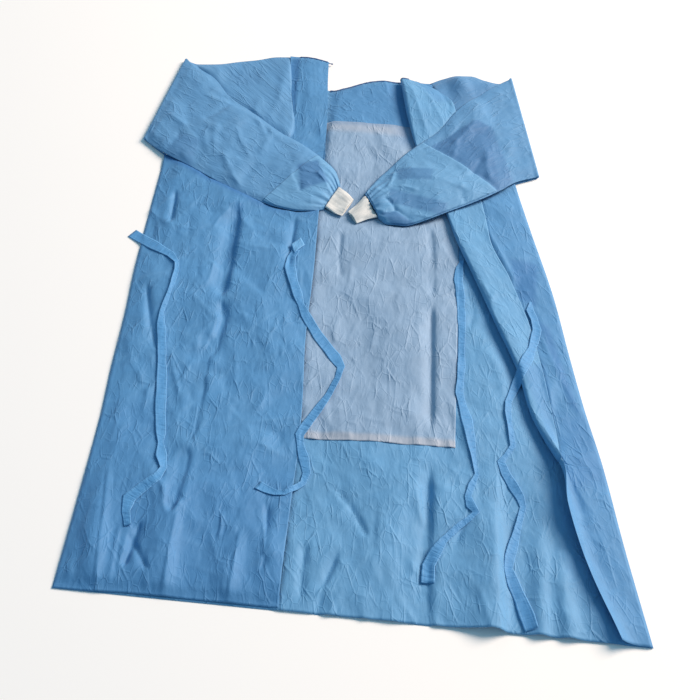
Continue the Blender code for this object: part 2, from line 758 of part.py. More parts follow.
def binding(name, line, inward, finish):
    """A narrow binding over a raw edge: a strip on the cloth with a lip down past the edge."""
    out, clear = -BINDING_LIP, -BINDING_CLEAR
    lip, under, over = 0.1 - WALL, 0.3, 1.3
    profile = [(out, lip), (clear, lip), (clear, under), (BINDING_WIDTH, under)]
    profile += [(BINDING_WIDTH, over), (out, over)]
    sections = []
    for place, into in zip(line, inward):
        sections.append([(*(place[:2] + into * depth), place[2] + z) for depth, z in profile])
    return strip(name, sections, finish)


def neck_bindings(neckline, left_top, right_top, finish):
    """The bindings of the front neckline and of the top edges of both back panels."""
    line = neckline[(neckline[:, 0] > -122) & (neckline[:, 0] < 36)]
    heading = unit(np.gradient(line[:, :2], axis=0))
    inward = np.stack([heading[:, 1], -heading[:, 0]], axis=1)
    binding("neck_binding", line, inward, finish)
    free_end = left_top[-1] + [9, -1, 0]
    line = np.concatenate([left_top[3:], [free_end]])
    binding("back_neck_binding", line, np.tile([0.0, -1.0], (len(line), 1)), finish)
    over = right_top[(right_top[:, 2] > BACK_Z + 5) & (right_top[:, 0] > 9) & (right_top[:, 0] < 37)]
    line = over[np.argsort(over[:, 0])] + [0, 0, 1.8]
    binding("right_back_neck_binding", line, np.tile([0.0, -1.0], (len(line), 1)), finish)


def material(name, colour, roughness):
    """A plain finish for one kind of cloth."""
    made = bpy.data.materials.new(name)
    made.use_nodes = True
    shader = made.node_tree.nodes["Principled BSDF"]
    shader.inputs["Base Color"].default_value = (*colour, 1)
    shader.inputs["Roughness"].default_value = roughness
    shader.inputs["Metallic"].default_value = 0
    made.diffuse_color = (*colour, 1)
    return made


def main():
    for obj in list(bpy.data.objects):
        bpy.data.objects.remove(obj, do_unlink=True)
    blue = material("blue_nonwoven", (0.13, 0.36, 0.66), 0.7)
    inside_blue = material("pale_blue_inside", (0.2, 0.45, 0.73), 0.7)
    pale = material("pale_reinforcement", (0.38, 0.52, 0.68), 0.65)
    knit = material("white_knit", (0.75, 0.73, 0.67), 0.9)
    dark = material("dark_blue_binding", (0.04, 0.12, 0.32), 0.7)
    tie_blue = material("tie_blue", (0.1, 0.33, 0.66), 0.7)

    left_form, right_form = SleeveForm(-1, LEFT_FOREARM), SleeveForm(1, RIGHT_FOREARM)
    front, neckline = front_panel(blue)
    left_back, left_top = left_back_panel(blue)
    right_back, right_top = right_back_panel(inside_blue)
    pieces = [front, left_back, right_back, reinforcement_panel(pale)]
    pieces.append(sleeve("left_sleeve", left_form, blue))
    pieces.append(sleeve("right_sleeve", right_form, blue))
    sleeve_reinforcement("left_sleeve_reinforcement", left_form, LEFT_SECOND, pale)
    sleeve_reinforcement("right_sleeve_reinforcement", right_form, RIGHT_SECOND, pale)
    cuff("left_cuff", LEFT_CUFF, knit)
    cuff("right_cuff", RIGHT_CUFF, knit)
    neck_bindings(neckline, left_top, right_top, dark)
    height = height_over(pieces)
    tie_patch("tie_2_patch", TIE_2_PATCH, height, tie_blue)
    for name, points in (("tie_1", TIE_1), ("tie_2", TIE_2), ("tie_3", TIE_3), ("tie_4", TIE_4)):
        tie(name, points, height, tie_blue)


main()
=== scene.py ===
# A surgical gown of blue nonwoven cloth, laid flat, in thin sheets on the forms of its CAD solids.
# Lengths in the tables are millimetres: x to the right, up from the hem to the neck, z above the surface.

from collections import namedtuple

import bpy
import numpy as np
from mathutils import Euler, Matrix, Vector
from mathutils.bvhtree import BVHTree
from mathutils.geometry import delaunay_2d_cdt


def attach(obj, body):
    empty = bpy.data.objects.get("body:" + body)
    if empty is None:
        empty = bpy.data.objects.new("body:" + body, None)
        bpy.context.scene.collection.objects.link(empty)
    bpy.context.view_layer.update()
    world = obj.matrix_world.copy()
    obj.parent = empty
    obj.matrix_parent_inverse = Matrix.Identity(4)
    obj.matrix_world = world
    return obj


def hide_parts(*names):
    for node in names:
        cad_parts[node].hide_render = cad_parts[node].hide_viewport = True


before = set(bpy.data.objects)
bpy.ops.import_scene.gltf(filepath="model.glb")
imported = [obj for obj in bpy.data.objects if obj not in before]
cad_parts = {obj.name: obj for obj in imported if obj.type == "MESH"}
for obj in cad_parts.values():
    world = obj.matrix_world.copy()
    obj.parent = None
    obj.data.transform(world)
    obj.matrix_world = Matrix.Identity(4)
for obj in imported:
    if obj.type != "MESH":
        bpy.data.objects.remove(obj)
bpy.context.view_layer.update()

MM = 0.001
LENGTH = 1214.0

# The camera, at the photograph's angle
CAMERA_PLACE = (0.1299, -1.4083, 1.5635)
CAMERA_TURN = (np.radians(39.38), 0.0, np.radians(6.319))
FOCAL_LENGTH = 64.29
SENSOR = 36.0
PICTURE = 700

# Thickness of the cloth, and the heights of the layers' undersides on the solids
CLOTH = 0.4
WALL = 1.2
FRONT_Z = 0.1
REINFORCEMENT_Z = 1.5
BACK_Z = 2.9
FOREARM_Z = 4.9
CROSSING_RISE = 6.3
SLEEVE_STACK = 3.0
ON_SLEEVE = 0.7

# The cuffs and the gathers of the wrists
CUFF_Z = 4.4
CUFF_HALF_HEIGHT = 3.4
GATHERS = 7
GATHER_DEPTH = 3.2

# The ties
TIE_WIDTH = 19.0
TIE_STEP = 4.0

# Outline below the underarms: where each edge lies at a height above the hem
Body = namedtuple("Body", "up left_side left_free right_side")
BODY = [
    Body(0, -378, -59, 454),
    Body(150, -379, -64, 420),
    Body(290, -381, -68, 391),
    Body(400, -387, -77, 363),
    Body(500, -390, -86, 341),
    Body(620, -397, -90, 316),
    Body(776, -401, -100, 274),
    Body(893, -403, -106, 243),
]

# The armholes, from the underarm to the shoulder point, and the free edge of the left back panel beside them
Armhole = namedtuple("Armhole", "left_x left_up right_x right_up free_x free_up")
ARMHOLES = [
    Armhole(-405, 902, 243, 893, -107, 905),
    Armhole(-320, 906, 218, 903, -107, 912),
    Armhole(-240, 922, 190, 922, -108, 930),
    Armhole(-192, 950, 160, 952, -111, 958),
    Armhole(-176, 988, 130, 1005, -114, 1000),
    Armhole(-183, 1040, 108, 1060, -119, 1060),
    Armhole(-199, 1120, 90, 1112, -128, 1135),
    Armhole(-213, 1214, 72, 1162, -134, 1199),
]

# The right back panel: its rounded turn, and its free edge turned back like a lapel
Turn = namedtuple("Turn", "up centre free radius angle edge_z")
TURNS = [
    Turn(0, 438, 409, 38, 48, 0),
    Turn(100, 395, 368, 34, 52, 0),
    Turn(200, 362, 336, 26, 78, 0),
    Turn(265, 343, 330, 14, 125, 0),
    Turn(320, 311, 324, 8, 180, 7.0),
    Turn(370, 287, 315, 6.5, 180, 6.2),
    Turn(450, 265, 300, 6, 180, 5.9),
    Turn(550, 225, 277, 6, 180, 5.9),
    Turn(650, 185, 242, 5.8, 180, 5.9),
    Turn(740, 147.5, 204, 5, 180, 5.9),
    Turn(790, 130, 195, 3.5, 180, 5.9),
    Turn(960, 62.3, 155, 3.2, 180, 5.9),
    Turn(1050, 41, 130, 7, 180, 6.5),
    Turn(1100, 31, 118, 8.0, 180, 7.0),
    Turn(1134, 23, 84, 6.5, 180, 6.5),
    Turn(1156, 17, 45, 5.0, 180, 6.0),
]

# Where the straight edge of a forearm's second layer ends, in pixels of the photograph, is in the rows called Second.
# The sleeves from the fold at their outer end to the wrist, at even steps
Forearm = namedtuple("Forearm", "upper_x upper_up lower_x lower_up puff")
LEFT_FOREARM = [
    Forearm(-420, 1180, -452, 936, 0),
    Forearm(-355, 1130, -403, 898, 3),
    Forearm(-309, 1070, -340, 861, 4),
    Forearm(-255, 1028, -280, 825, 5),
    Forearm(-202, 983, -222, 796, 6),
    Forearm(-150, 949, -176, 778, 9),
    Forearm(-110, 915, -138, 772, 13),
    Forearm(-82, 883, -111, 776, 11),
    Forearm(-70, 850, -92, 785, 3),
]
RIGHT_FOREARM = [
    Forearm(229, 1190, 287, 913, 0),
    Forearm(190, 1155, 247, 893, 3),
    Forearm(155, 1112, 214, 857, 4),
    Forearm(124, 1067, 172, 824, 5),
    Forearm(97, 1010, 131, 797, 6),
    Forearm(56, 961, 90, 771, 9),
    Forearm(23, 916, 50, 757, 13),
    Forearm(-6, 872, 24, 758, 11),
    Forearm(-26, 830, 6, 772, 3),
]
SECOND_LAYER_ENDS = 0.985
Second = namedtuple("Second", "upper_x upper_y lower_x lower_y")
LEFT_SECOND = Second(315, 154, 260, 200)
RIGHT_SECOND = Second(431.5, 147, 502, 193)

# How far a sleeve's top edge bends off the straight line, and how high it stands, from fold to shoulder
Shoulder = namedtuple("Shoulder", "along left_bend right_bend right_rise")
SHOULDERS = [
    Shoulder(0.0, 0, 0, 0),
    Shoulder(0.12, -12, -9, 0),
    Shoulder(0.32, -14, 3, 0),
    Shoulder(0.5, -9, 18, 2),
    Shoulder(0.68, -5, 19, 10),
    Shoulder(0.85, 2, 12, 2),
    Shoulder(1.0, 0, 0, 0),
]

# How far the front neckline dips below the line from shoulder to shoulder
Neckline = namedtuple("Neckline", "across dip")
NECKLINE = [
    Neckline(0, 0),
    Neckline(0.1, 3),
    Neckline(0.2, 56),
    Neckline(0.27, 78),
    Neckline(0.33, 79),
    Neckline(0.42, 66),
    Neckline(0.5, 50),
    Neckline(0.61, 31),
    Neckline(0.75, 18),
    Neckline(0.88, 9),
    Neckline(1, 0),
]
NECK_DIP_FROM = 980

# The pale panel on the inner face of the front
Reinforced = namedtuple("Reinforced", "up left right")
REINFORCED = [
    Reinforced(287, -178, 169),
    Reinforced(302, -178, 168),
    Reinforced(500, -178, 160),
    Reinforced(740, -177, 150),
    Reinforced(900, -174, 143),
    Reinforced(980, -168, 130),
    Reinforced(1024, -163, 106),
]
REINFORCED_TILT = 8

# Soft folds that stand up from a panel
Fold = namedtuple("Fold", "top_x top_up foot_x foot_up height left_width right_width")
FRONT_FOLDS = [
    Fold(224, 340, 243, 0, 13, 42, 11),
    Fold(296, 230, 303, 0, 7, 14, 12),
    Fold(324, 160, 342, 0, 6, 12, 14),
    Fold(76, 300, 100, 0, 2.5, 26, 14),
]
LEFT_BACK_FOLDS = [
    Fold(-346, 190, -319, 0, 7, 22, 15),
    Fold(-238, 260, -225, 0, 8, 30, 14),
    Fold(-130, 150, -133, 0, 6, 24, 14),
    Fold(-241, 600, -236, 180, 3.5, 26, 18),
]

# Creases placed one by one. Each is a bent line through three places of the photograph, in its pixels, with the
# height of a ridge or the depth of a groove, and how far its slopes reach on both sides. Lines run downwards.
Crease = namedtuple("Crease", "x1 y1 x2 y2 x3 y3 height left_width right_width")
LEFT_BACK_CREASES = [
    Crease(239, 205, 229, 262, 221, 302, -3.6, 16, 6),
    Crease(221, 300, 223, 318, 210, 360, -2.4, 6, 9),
    Crease(212, 330, 206, 362, 197, 405, -2.4, 12, 5),
    Crease(203, 378, 192, 432, 188, 446, -2.8, 12, 6),
    Crease(189, 446, 178, 490, 170, 520, -2.8, 14, 7),
    Crease(181, 498, 171, 545, 156, 630, 2.3, 5, 20),
    Crease(110, 446, 104, 515, 89, 635, 2.3, 5, 18),
    Crease(243, 516, 234, 560, 222, 640, 2.2, 5, 18),
    Crease(174, 222, 178, 250, 186, 280, 1.4, 6, 6),
    Crease(190, 215, 189, 245, 188, 275, 1.2, 7, 6),
    Crease(198, 232, 198, 260, 197, 285, 1.2, 7, 7),
    Crease(214, 262, 208, 278, 202, 290, 1.0, 5, 5),
    Crease(196, 308, 188, 330, 180, 344, 1.1, 5, 5),
    Crease(195, 318, 194, 336, 196, 352, 1.2, 6, 5),
    Crease(215, 315, 210, 338, 203, 352, 1.0, 5, 5),
    Crease(236, 310, 250, 316, 259, 320, 0.9, 4, 4),
    Crease(258, 322, 253, 345, 251, 352, 1.0, 4, 5),
    Crease(235, 325, 236, 355, 235, 390, 1.3, 7, 5),
    Crease(252, 325, 254, 350, 262, 372, 1.2, 6, 5),
    Crease(280, 330, 281, 360, 280, 395, 1.4, 8, 6),
    Crease(295, 325, 286, 345, 281, 362, 1.2, 6, 6),
    Crease(170, 345, 174, 372, 182, 405, 1.4, 6, 6),
    Crease(194, 358, 186, 372, 182, 384, 1.2, 5, 5),
    Crease(230, 395, 222, 408, 217, 418, 1.4, 8, 5),
    Crease(216, 418, 218, 430, 222, 441, 1.1, 5, 5),
    Crease(228, 395, 240, 405, 246, 405, 0.9, 4, 4),
    Crease(266, 390, 262, 402, 256, 412, 1.3, 6, 5),
    Crease(205, 430, 208, 445, 216, 457, 1.1, 5, 5),
    Crease(225, 452, 230, 462, 228, 478, 1.0, 5, 5),
    Crease(200, 498, 212, 540, 228, 606, 1.5, 5, 4),
    Crease(128, 533, 139, 555, 150, 576, -1.0, 4, 4),
    Crease(222, 506, 221, 530, 219, 560, 1.4, 6, 6),
    Crease(226, 507, 222, 530, 217, 542, 1.2, 6, 5),
    Crease(240, 510, 234, 522, 228, 532, 1.2, 6, 5),
    Crease(256, 500, 262, 535, 262, 570, 2.2, 9, 6),
    Crease(268, 500, 266, 530, 262, 575, -1.6, 9, 6),
    Crease(288, 500, 288, 545, 284, 630, 1.6, 9, 6),
    Crease(126, 330, 132, 360, 146, 388, 1.4, 6, 6),
    Crease(146, 280, 150, 320, 156, 352, -1.4, 7, 7),
    Crease(150, 385, 146, 398, 142, 412, 1.1, 5, 5),
    Crease(130, 455, 126, 480, 121, 500, 1.4, 6, 6),
    Crease(158, 480, 162, 505, 163, 540, 1.4, 6, 6),
    Crease(122, 520, 116, 550, 108, 590, 1.8, 8, 6),
    Crease(142, 520, 132, 545, 122, 572, -1.6, 7, 6),
    Crease(78, 535, 74, 555, 66, 588, 1.4, 8, 6),
    Crease(150, 205, 157, 218, 160, 240, 1.2, 5, 5),
    Crease(176, 190, 174, 205, 170, 225, -1.4, 5, 5),
    Crease(200, 205, 213, 215, 226, 212, 1.0, 4, 4),
    Crease(208, 232, 219, 218, 232, 210, 1.0, 4, 4),
    Crease(296, 215, 291, 250, 289, 275, -1.2, 8, 5),
    Crease(312, 75, 318, 110, 322, 140, 1.0, 5, 5),
    Crease(303, 56, 299, 88, 295, 120, 1.3, 6, 9),
]
FRONT_CREASES = [
    Crease(430, 458, 428, 530, 424, 672, -3.2, 13, 5),
    Crease(330, 482, 346, 520, 374, 668, 1.6, 7, 6),
    Crease(330, 482, 352, 510, 372, 545, -1.2, 5, 5),
    Crease(312, 458, 350, 478, 368, 500, 1.2, 5, 5),
    Crease(376, 495, 375, 520, 370, 560, 1.6, 6, 6),
    Crease(356, 478, 366, 488, 376, 496, 1.0, 4, 4),
    Crease(378, 540, 388, 562, 396, 592, 1.3, 5, 5),
    Crease(412, 480, 418, 505, 424, 530, 1.0, 5, 5),
    Crease(445, 460, 458, 478, 470, 506, 1.4, 5, 5),
    Crease(476, 480, 472, 500, 460, 528, 1.4, 5, 5),
    Crease(472, 502, 464, 525, 454, 548, -1.3, 5, 5),
    Crease(476, 515, 480, 535, 484, 545, 1.0, 5, 5),
    Crease(398, 545, 408, 560, 418, 575, 1.0, 5, 5),
    Crease(396, 592, 408, 612, 420, 625, 1.2, 5, 5),
    Crease(350, 550, 335, 580, 312, 600, 1.3, 5, 5),
    Crease(342, 545, 328, 575, 305, 650, -1.6, 7, 6),
    Crease(352, 575, 336, 600, 300, 668, 1.6, 7, 6),
    Crease(432, 610, 445, 640, 456, 676, 1.2, 6, 5),
    Crease(478, 585, 488, 620, 498, 652, 1.3, 5, 5),
    Crease(500, 652, 496, 662, 490, 676, 1.0, 5, 5),
    Crease(310, 515, 316, 545, 322, 568, 1.2, 6, 5),
    Crease(292, 520, 288, 560, 284, 600, 1.6, 8, 6),
    Crease(306, 540, 302, 570, 300, 605, -1.4, 7, 6),
]
REINFORCED_CREASES = [
    Crease(432, 300, 432, 360, 431, 440, -2.6, 11, 4),
    Crease(431, 225, 433, 260, 433, 300, -1.8, 10, 4),
    Crease(350, 126, 338, 150, 331, 170, 2.0, 7, 7),
    Crease(362, 130, 375, 150, 380, 160, 1.0, 5, 5),
    Crease(325, 205, 318, 250, 312, 285, 1.8, 7, 6),
    Crease(341, 230, 339, 260, 342, 280, -1.2, 6, 6),
    Crease(352, 255, 350, 275, 346, 298, 1.2, 6, 6),
    Crease(340, 312, 334, 330, 337, 345, 1.4, 7, 6),
    Crease(378, 322, 374, 335, 372, 350, 1.3, 6, 6),
    Crease(410, 312, 414, 330, 410, 352, 1.2, 6, 6),
    Crease(466, 285, 450, 292, 434, 302, 1.3, 4, 4),
    Crease(434, 310, 455, 320, 466, 324, 1.2, 4, 4),
    Crease(468, 285, 474, 310, 470, 330, -1.2, 5, 5),
    Crease(458, 330, 465, 365, 480, 400, 1.4, 6, 5),
    Crease(472, 350, 480, 375, 484, 392, 1.4, 5, 5),
    Crease(446, 340, 454, 360, 460, 395, 1.0, 5, 5),
    Crease(482, 402, 470, 396, 460, 390, 0.9, 4, 4),
    Crease(448, 390, 470, 420, 492, 450, 1.4, 6, 5),
    Crease(440, 240, 452, 262, 468, 276, 1.2, 5, 5),
    Crease(478, 240, 480, 262, 478, 285, 1.4, 5, 5),
    Crease(402, 300, 415, 318, 430, 325, 1.2, 5, 5),
    Crease(404, 385, 400, 410, 396, 445, 1.4, 7, 5),
    Crease(372, 398, 366, 420, 362, 446, 1.0, 5, 5),
    Crease(322, 395, 326, 410, 330, 425, 1.4, 5, 5),
    Crease(336, 400, 342, 420, 346, 442, 1.2, 5, 5),
    Crease(310, 355, 312, 370, 308, 390, 1.2, 5, 5),
]
LAPEL_CREASES = [
    Crease(480, 215, 498, 245, 520, 285, 1.5, 6, 5),
    Crease(469, 262, 482, 290, 496, 318, -1.4, 4, 6),
    Crease(482, 280, 488, 292, 494, 300, 1.2, 4, 4),
    Crease(496, 290, 492, 298, 490, 304, 1.2, 4, 4),
    Crease(408, 80, 420, 112, 430, 138, 1.2, 5, 5),
    Crease(425, 90, 436, 108, 446, 126, 1.2, 5, 5),
    Crease(440, 86, 446, 98, 452, 106, -1.0, 4, 4),
]
OUTER_CREASES = [
    Crease(538, 330, 560, 378, 586, 424, 1.3, 6, 14),
    Crease(538, 362, 549, 400, 558, 444, 1.2, 5, 12),
    Crease(558, 444, 570, 476, 590, 512, 1.2, 5, 14),
    Crease(560, 446, 574, 456, 600, 480, 0.8, 4, 5),
]
LEFT_SLEEVE_CREASES = [
    Crease(232, 102, 216, 114, 202, 122, -2.0, 7, 5),
    Crease(167, 112, 176, 120, 190, 130, 1.5, 6, 5),
    Crease(185, 131, 172, 143, 163, 152, -1.6, 6, 6),
    Crease(222, 151, 230, 170, 241, 191, 1.8, 7, 6),
    Crease(250, 119, 235, 127, 222, 141, 1.3, 5, 5),
    Crease(205, 130, 206, 145, 210, 158, 1.4, 7, 6),
    Crease(218, 124, 214, 140, 216, 160, 1.4, 7, 6),
    Crease(236, 126, 240, 140, 252, 162, 1.3, 5, 5),
    Crease(262, 118, 270, 126, 276, 138, 1.4, 4, 4),
    Crease(272, 130, 266, 144, 260, 156, 1.3, 5, 5),
    Crease(254, 112, 262, 128, 266, 140, 1.4, 4, 4),
    Crease(182, 150, 188, 165, 198, 178, 1.3, 6, 5),
    Crease(258, 162, 250, 172, 244, 180, -1.0, 6, 5),
    Crease(300, 168, 296, 176, 301, 192, -2.0, 4, 4),
    Crease(297, 190, 310, 194, 326, 198, -2.2, 4, 4),
    Crease(316, 172, 322, 180, 330, 190, 1.6, 4, 4),
]
LEFT_SHOULDER_CREASES = [
    Crease(290, 62, 290, 90, 291, 140, -1.5, 6, 5),
    Crease(196, 66, 206, 74, 216, 84, 1.4, 5, 5),
    Crease(222, 74, 246, 74, 262, 72, -1.2, 5, 5),
    Crease(262, 96, 256, 110, 254, 118, 1.3, 5, 5),
    Crease(280, 92, 276, 108, 268, 122, 1.2, 6, 5),
    Crease(284, 76, 280, 92, 282, 106, 1.0, 5, 5),
    Crease(246, 66, 240, 80, 222, 84, 1.0, 5, 5),
]
RIGHT_SLEEVE_CREASES = [
    Crease(459, 191, 462, 200, 468, 209, -1.8, 4, 5),
    Crease(462, 186, 460, 194, 461, 200, 1.2, 4, 4),
    Crease(466, 124, 450, 138, 434, 148, -1.6, 5, 5),
    Crease(480, 118, 462, 138, 446, 155, 1.4, 5, 5),
    Crease(458, 140, 456, 152, 452, 162, 1.2, 5, 4),
    Crease(482, 160, 477, 170, 470, 182, -1.4, 5, 5),
    Crease(488, 150, 486, 170, 492, 186, 1.3, 5, 5),
    Crease(478, 176, 490, 186, 502, 193, -1.2, 4, 4),
    Crease(440, 128, 430, 138, 424, 146, 1.2, 5, 4),
    Crease(394, 172, 392, 182, 386, 192, 1.6, 4, 4),
    Crease(384, 200, 392, 206, 396, 214, -1.6, 4, 4),
    Crease(398, 190, 408, 192, 420, 196, 1.2, 4, 4),
    Crease(382, 214, 396, 212, 414, 222, -1.6, 4, 4),
]

# Places of the cloth coloured darker: painted shade in hollows, beside rolls and folds and under raised edges,
# broad darker stretches, and on the sleeves darker places where more layers lie beneath. Each row gives four
# corners in pixels of the photograph, how soft the outline is in millimetres, and how strong the painted shade is
PaintedShade = namedtuple("PaintedShade", "x1 y1 x2 y2 x3 y3 x4 y4 soft strength")
RIGHT_SLEEVE_PAINTED_SHADES = [
    PaintedShade(431, 146, 477, 120, 490, 126, 502, 193, 8, 0.75),
    PaintedShade(478, 122, 492, 126, 514, 180, 502, 193, 10, 0.6),
    PaintedShade(396, 168, 433, 172, 431, 184, 398, 181, 8, 0.65),
    PaintedShade(390, 190, 447, 205, 445, 216, 389, 203, 8, 0.7),
    PaintedShade(380, 213, 396, 211, 416, 221, 400, 226, 6, 0.9),
]
LEFT_SLEEVE_PAINTED_SHADES = [
    PaintedShade(298, 164, 318, 158, 328, 182, 300, 190, 10, 0.95),
    PaintedShade(163, 152, 181, 132, 200, 140, 190, 166, 12, 0.35),
]
BACK_PAINTED_SHADES = [
    PaintedShade(290, 60, 300, 58, 295, 108, 291, 114, 5, 0.45),
    PaintedShade(236, 205, 244, 206, 232, 262, 226, 262, 8, 0.25),
    PaintedShade(70, 470, 300, 470, 290, 612, 40, 600, 130, 0.22),
    PaintedShade(110, 400, 165, 400, 130, 600, 50, 595, 60, 0.15),
]
SHOULDER_PAINTED_SHADES = [
    PaintedShade(425, 70, 500, 78, 480, 118, 440, 120, 30, 0.32),
    PaintedShade(230, 72, 262, 68, 262, 82, 236, 84, 12, 0.15),
]
RIGHT_BACK_PAINTED_SHADES = [
    PaintedShade(538, 318, 549, 326, 581, 414, 570, 404, 12, 0.45),
    PaintedShade(558, 412, 586, 414, 610, 480, 576, 486, 34, 0.25),
    PaintedShade(510, 258, 538, 262, 536, 304, 520, 298, 12, 0.45),
    PaintedShade(522, 368, 544, 362, 557, 440, 550, 448, 14, 0.38),
    PaintedShade(406, 74, 450, 78, 452, 100, 436, 104, 12, 0.30),
]
FRONT_PAINTED_SHADES = [
    PaintedShade(330, 88, 405, 82, 414, 128, 328, 124, 16, 0.42),
    PaintedShade(376, 82, 412, 80, 420, 150, 404, 140, 44, 0.55),
    PaintedShade(452, 246, 472, 240, 518, 364, 504, 370, 16, 0.15),
    PaintedShade(504, 368, 520, 362, 562, 462, 546, 466, 16, 0.15),
    PaintedShade(552, 470, 568, 500, 586, 560, 562, 562, 26, 0.20),
    PaintedShade(562, 552, 584, 556, 630, 655, 602, 652, 36, 0.25),
]

# The ties. Each row is a place on the centreline in pixels of the photograph, the width that shows, and the way
# the band leans: 1 towards the right, into the light, -1 towards the left, 0 flat.
Turned = namedtuple("Turned", "x y width lean")
TIE_1 = [
    Turned(132, 232.5, 19, 0),
    Turned(150, 243, 19, 0),
    Turned(162, 249.5, 18, 0.2),
    Turned(170.5, 254, 14, 0.3),
    Turned(177, 262, 7, 0.8),
    Turned(177, 269, 8, 1),
    Turned(173, 283, 7, 1),
    Turned(167.5, 297.5, 7, 1),
    Turned(162, 311, 8, 1),
    Turned(161, 322, 12, 0.5),
    Turned(161.5, 332, 15, 0.2),
    Turned(162, 348, 14, 0.5),
    Turned(162, 373, 15, 0.4),
    Turned(161.5, 387, 16, 0.5),
    Turned(160.3, 410, 18, 0.4),
    Turned(161, 434, 14, 0.5),
    Turned(160.7, 442, 8, 0.5),
    Turned(161.5, 455, 16, 0.8),
    Turned(163.5, 468, 10, 0.8),
    Turned(157, 477, 14, 0.3),
    Turned(142.5, 487, 18, 0.4),
    Turned(129, 497.5, 18, 0.2),
    Turned(125.8, 511, 13, -0.9),
    Turned(127.6, 525.5, 11, -0.9),
]
TIE_2 = [
    Turned(296, 249.5, 13, 0),
    Turned(291.5, 257.5, 15, 0.2),
    Turned(290, 267, 17, 0.5),
    Turned(293, 280, 17, 0.6),
    Turned(298, 295, 16, 0.6),
    Turned(301, 304.5, 11, 0),
    Turned(305, 314, 14, -0.9),
    Turned(310.5, 323.5, 16, -0.7),
    Turned(317.5, 335, 18, -0.4),
    Turned(326, 346, 19, -0.3),
    Turned(334.5, 356.5, 19, -0.3),
    Turned(341, 367, 12, -0.4),
    Turned(338, 377, 10, -1),
    Turned(329, 394, 12, -0.9),
    Turned(318.5, 409, 14, -0.8),
    Turned(307.5, 423, 15, -0.7),
    Turned(299.5, 434.5, 14, -0.4),
    Turned(300.5, 446, 12, 0),
    Turned(304, 459, 16, -0.6),
    Turned(306.5, 473, 12, -0.5),
    Turned(303, 483, 8, 0.6),
    Turned(294, 489.5, 8, 0.9),
    Turned(285, 493, 9, 0.5),
    Turned(275, 492.5, 9, -0.6),
    Turned(266, 489, 13, -0.4),
    Turned(257.5, 484.5, 17, 0.5),
]
TIE_3 = [
    Turned(462.5, 259.5, 5, -0.6),
    Turned(459.5, 268, 12, -0.8),
    Turned(458.3, 280, 15, -0.6),
    Turned(460.5, 296.5, 15, -0.6),
    Turned(461.5, 313, 13, -0.6),
    Turned(462, 329, 12, -0.5),
    Turned(461.5, 345.5, 11, -0.3),
    Turned(461.5, 366, 12, 0.6),
    Turned(460.5, 380, 11, 0.7),
    Turned(459.5, 393, 12, 0.6),
    Turned(462.5, 405, 14, 0.4),
    Turned(467, 420, 17, 0.4),
    Turned(470.5, 437, 14, 0.5),
    Turned(473, 452, 9, 0.8),
    Turned(475.5, 467, 7, 0.6),
    Turned(477, 474, 6, 0.4),
    Turned(472, 485, 11, 0.7),
    Turned(468, 496, 9, 0.4),
    Turned(470.5, 505, 13, -0.9),
    Turned(476, 512, 9, -0.3),
    Turned(470, 518, 9, 0.8),
    Turned(457.5, 527.5, 9, 0.8),
    Turned(444, 540, 11, 0.7),
    Turned(435, 553, 17, 0.5),
    Turned(428.5, 566, 19, 0.4),
    Turned(427.5, 584, 19, 0.3),
]
TIE_4 = [
    Turned(530.8, 302, 3, 0.4),
    Turned(529.8, 310, 12, 0.6),
    Turned(534, 319, 11, 0.6),
    Turned(537, 330, 15, 0.5),
    Turned(534.5, 341, 15, 0.4),
    Turned(532, 349, 13, 0.4),
    Turned(528.5, 357, 17, 0.4),
    Turned(522, 370, 17, 0.4),
    Turned(515.5, 386, 14, 0.4),
    Turned(508.5, 402, 11, 0.5),
    Turned(508, 412, 9, 0.8),
    Turned(511, 432, 8, 0.9),
    Turned(513, 446, 9, 0.6),
    Turned(506, 455.5, 8, 0.4),
    Turned(501, 461.5, 11, -0.3),
    Turned(505.5, 474, 14, -0.9),
    Turned(513.5, 487, 14, -0.9),
    Turned(520.5, 498.5, 13, -0.8),
    Turned(523, 507, 10, -0.2),
    Turned(519.5, 522, 9, 0.9),
    Turned(514.5, 541, 13, 0.7),
    Turned(509.5, 559.5, 15, 0.5),
    Turned(508.5, 569, 13, -0.4),
    Turned(513.5, 584, 18, -0.9),
    Turned(521, 600.5, 19, -0.7),
    Turned(527, 617, 19, -0.6),
    Turned(531.5, 630, 19, -0.5),
]
Point = namedtuple("Point", "x y")
TIE_2_PATCH = [Point(291.6, 247.2), Point(300.8, 240.8), Point(304.8, 248.4), Point(294.2, 256.2)]

# The knit cuffs: both ends of the seam line and of the open end
Cuff = namedtuple("Cuff", "seam_upper seam_lower end_upper end_lower")
LEFT_CUFF = Cuff(Point(-71.4, 843.8), Point(-90.8, 786.4), Point(-42, 815), Point(-59, 770))
RIGHT_CUFF = Cuff(Point(-23.6, 824.2), Point(3.7, 775), Point(-49, 782), Point(-31, 755))


def smooth(at, xs, ys):
    """The height of a smooth curve through a table at some places, with no overshoot between its rows."""
    xs, ys, at = np.asarray(xs, float), np.asarray(ys, float), np.asarray(at, float)
    steps = np.diff(xs)
    rises = np.diff(ys) / steps
    both = rises[:-1] * rises[1:]
    sums = np.where(both > 0, rises[:-1] + rises[1:], 1.0)
    slopes = np.concatenate([rises[:1], np.where(both > 0, 2 * both / sums, 0.0), rises[-1:]])
    i = np.clip(np.searchsorted(xs, at, side="right") - 1, 0, len(steps) - 1)
    t = np.clip((at - xs[i]) / steps[i], 0, 1)
    start = (1 + 2 * t) * (1 - t) ** 2 * ys[i] + t * (1 - t) ** 2 * steps[i] * slopes[i]
    end = t**2 * (3 - 2 * t) * ys[i + 1] - t**2 * (1 - t) * steps[i] * slopes[i + 1]
    return start + end


def column(table, name):
    """One named column of a table."""
    return np.array([getattr(row, name) for row in table], float)


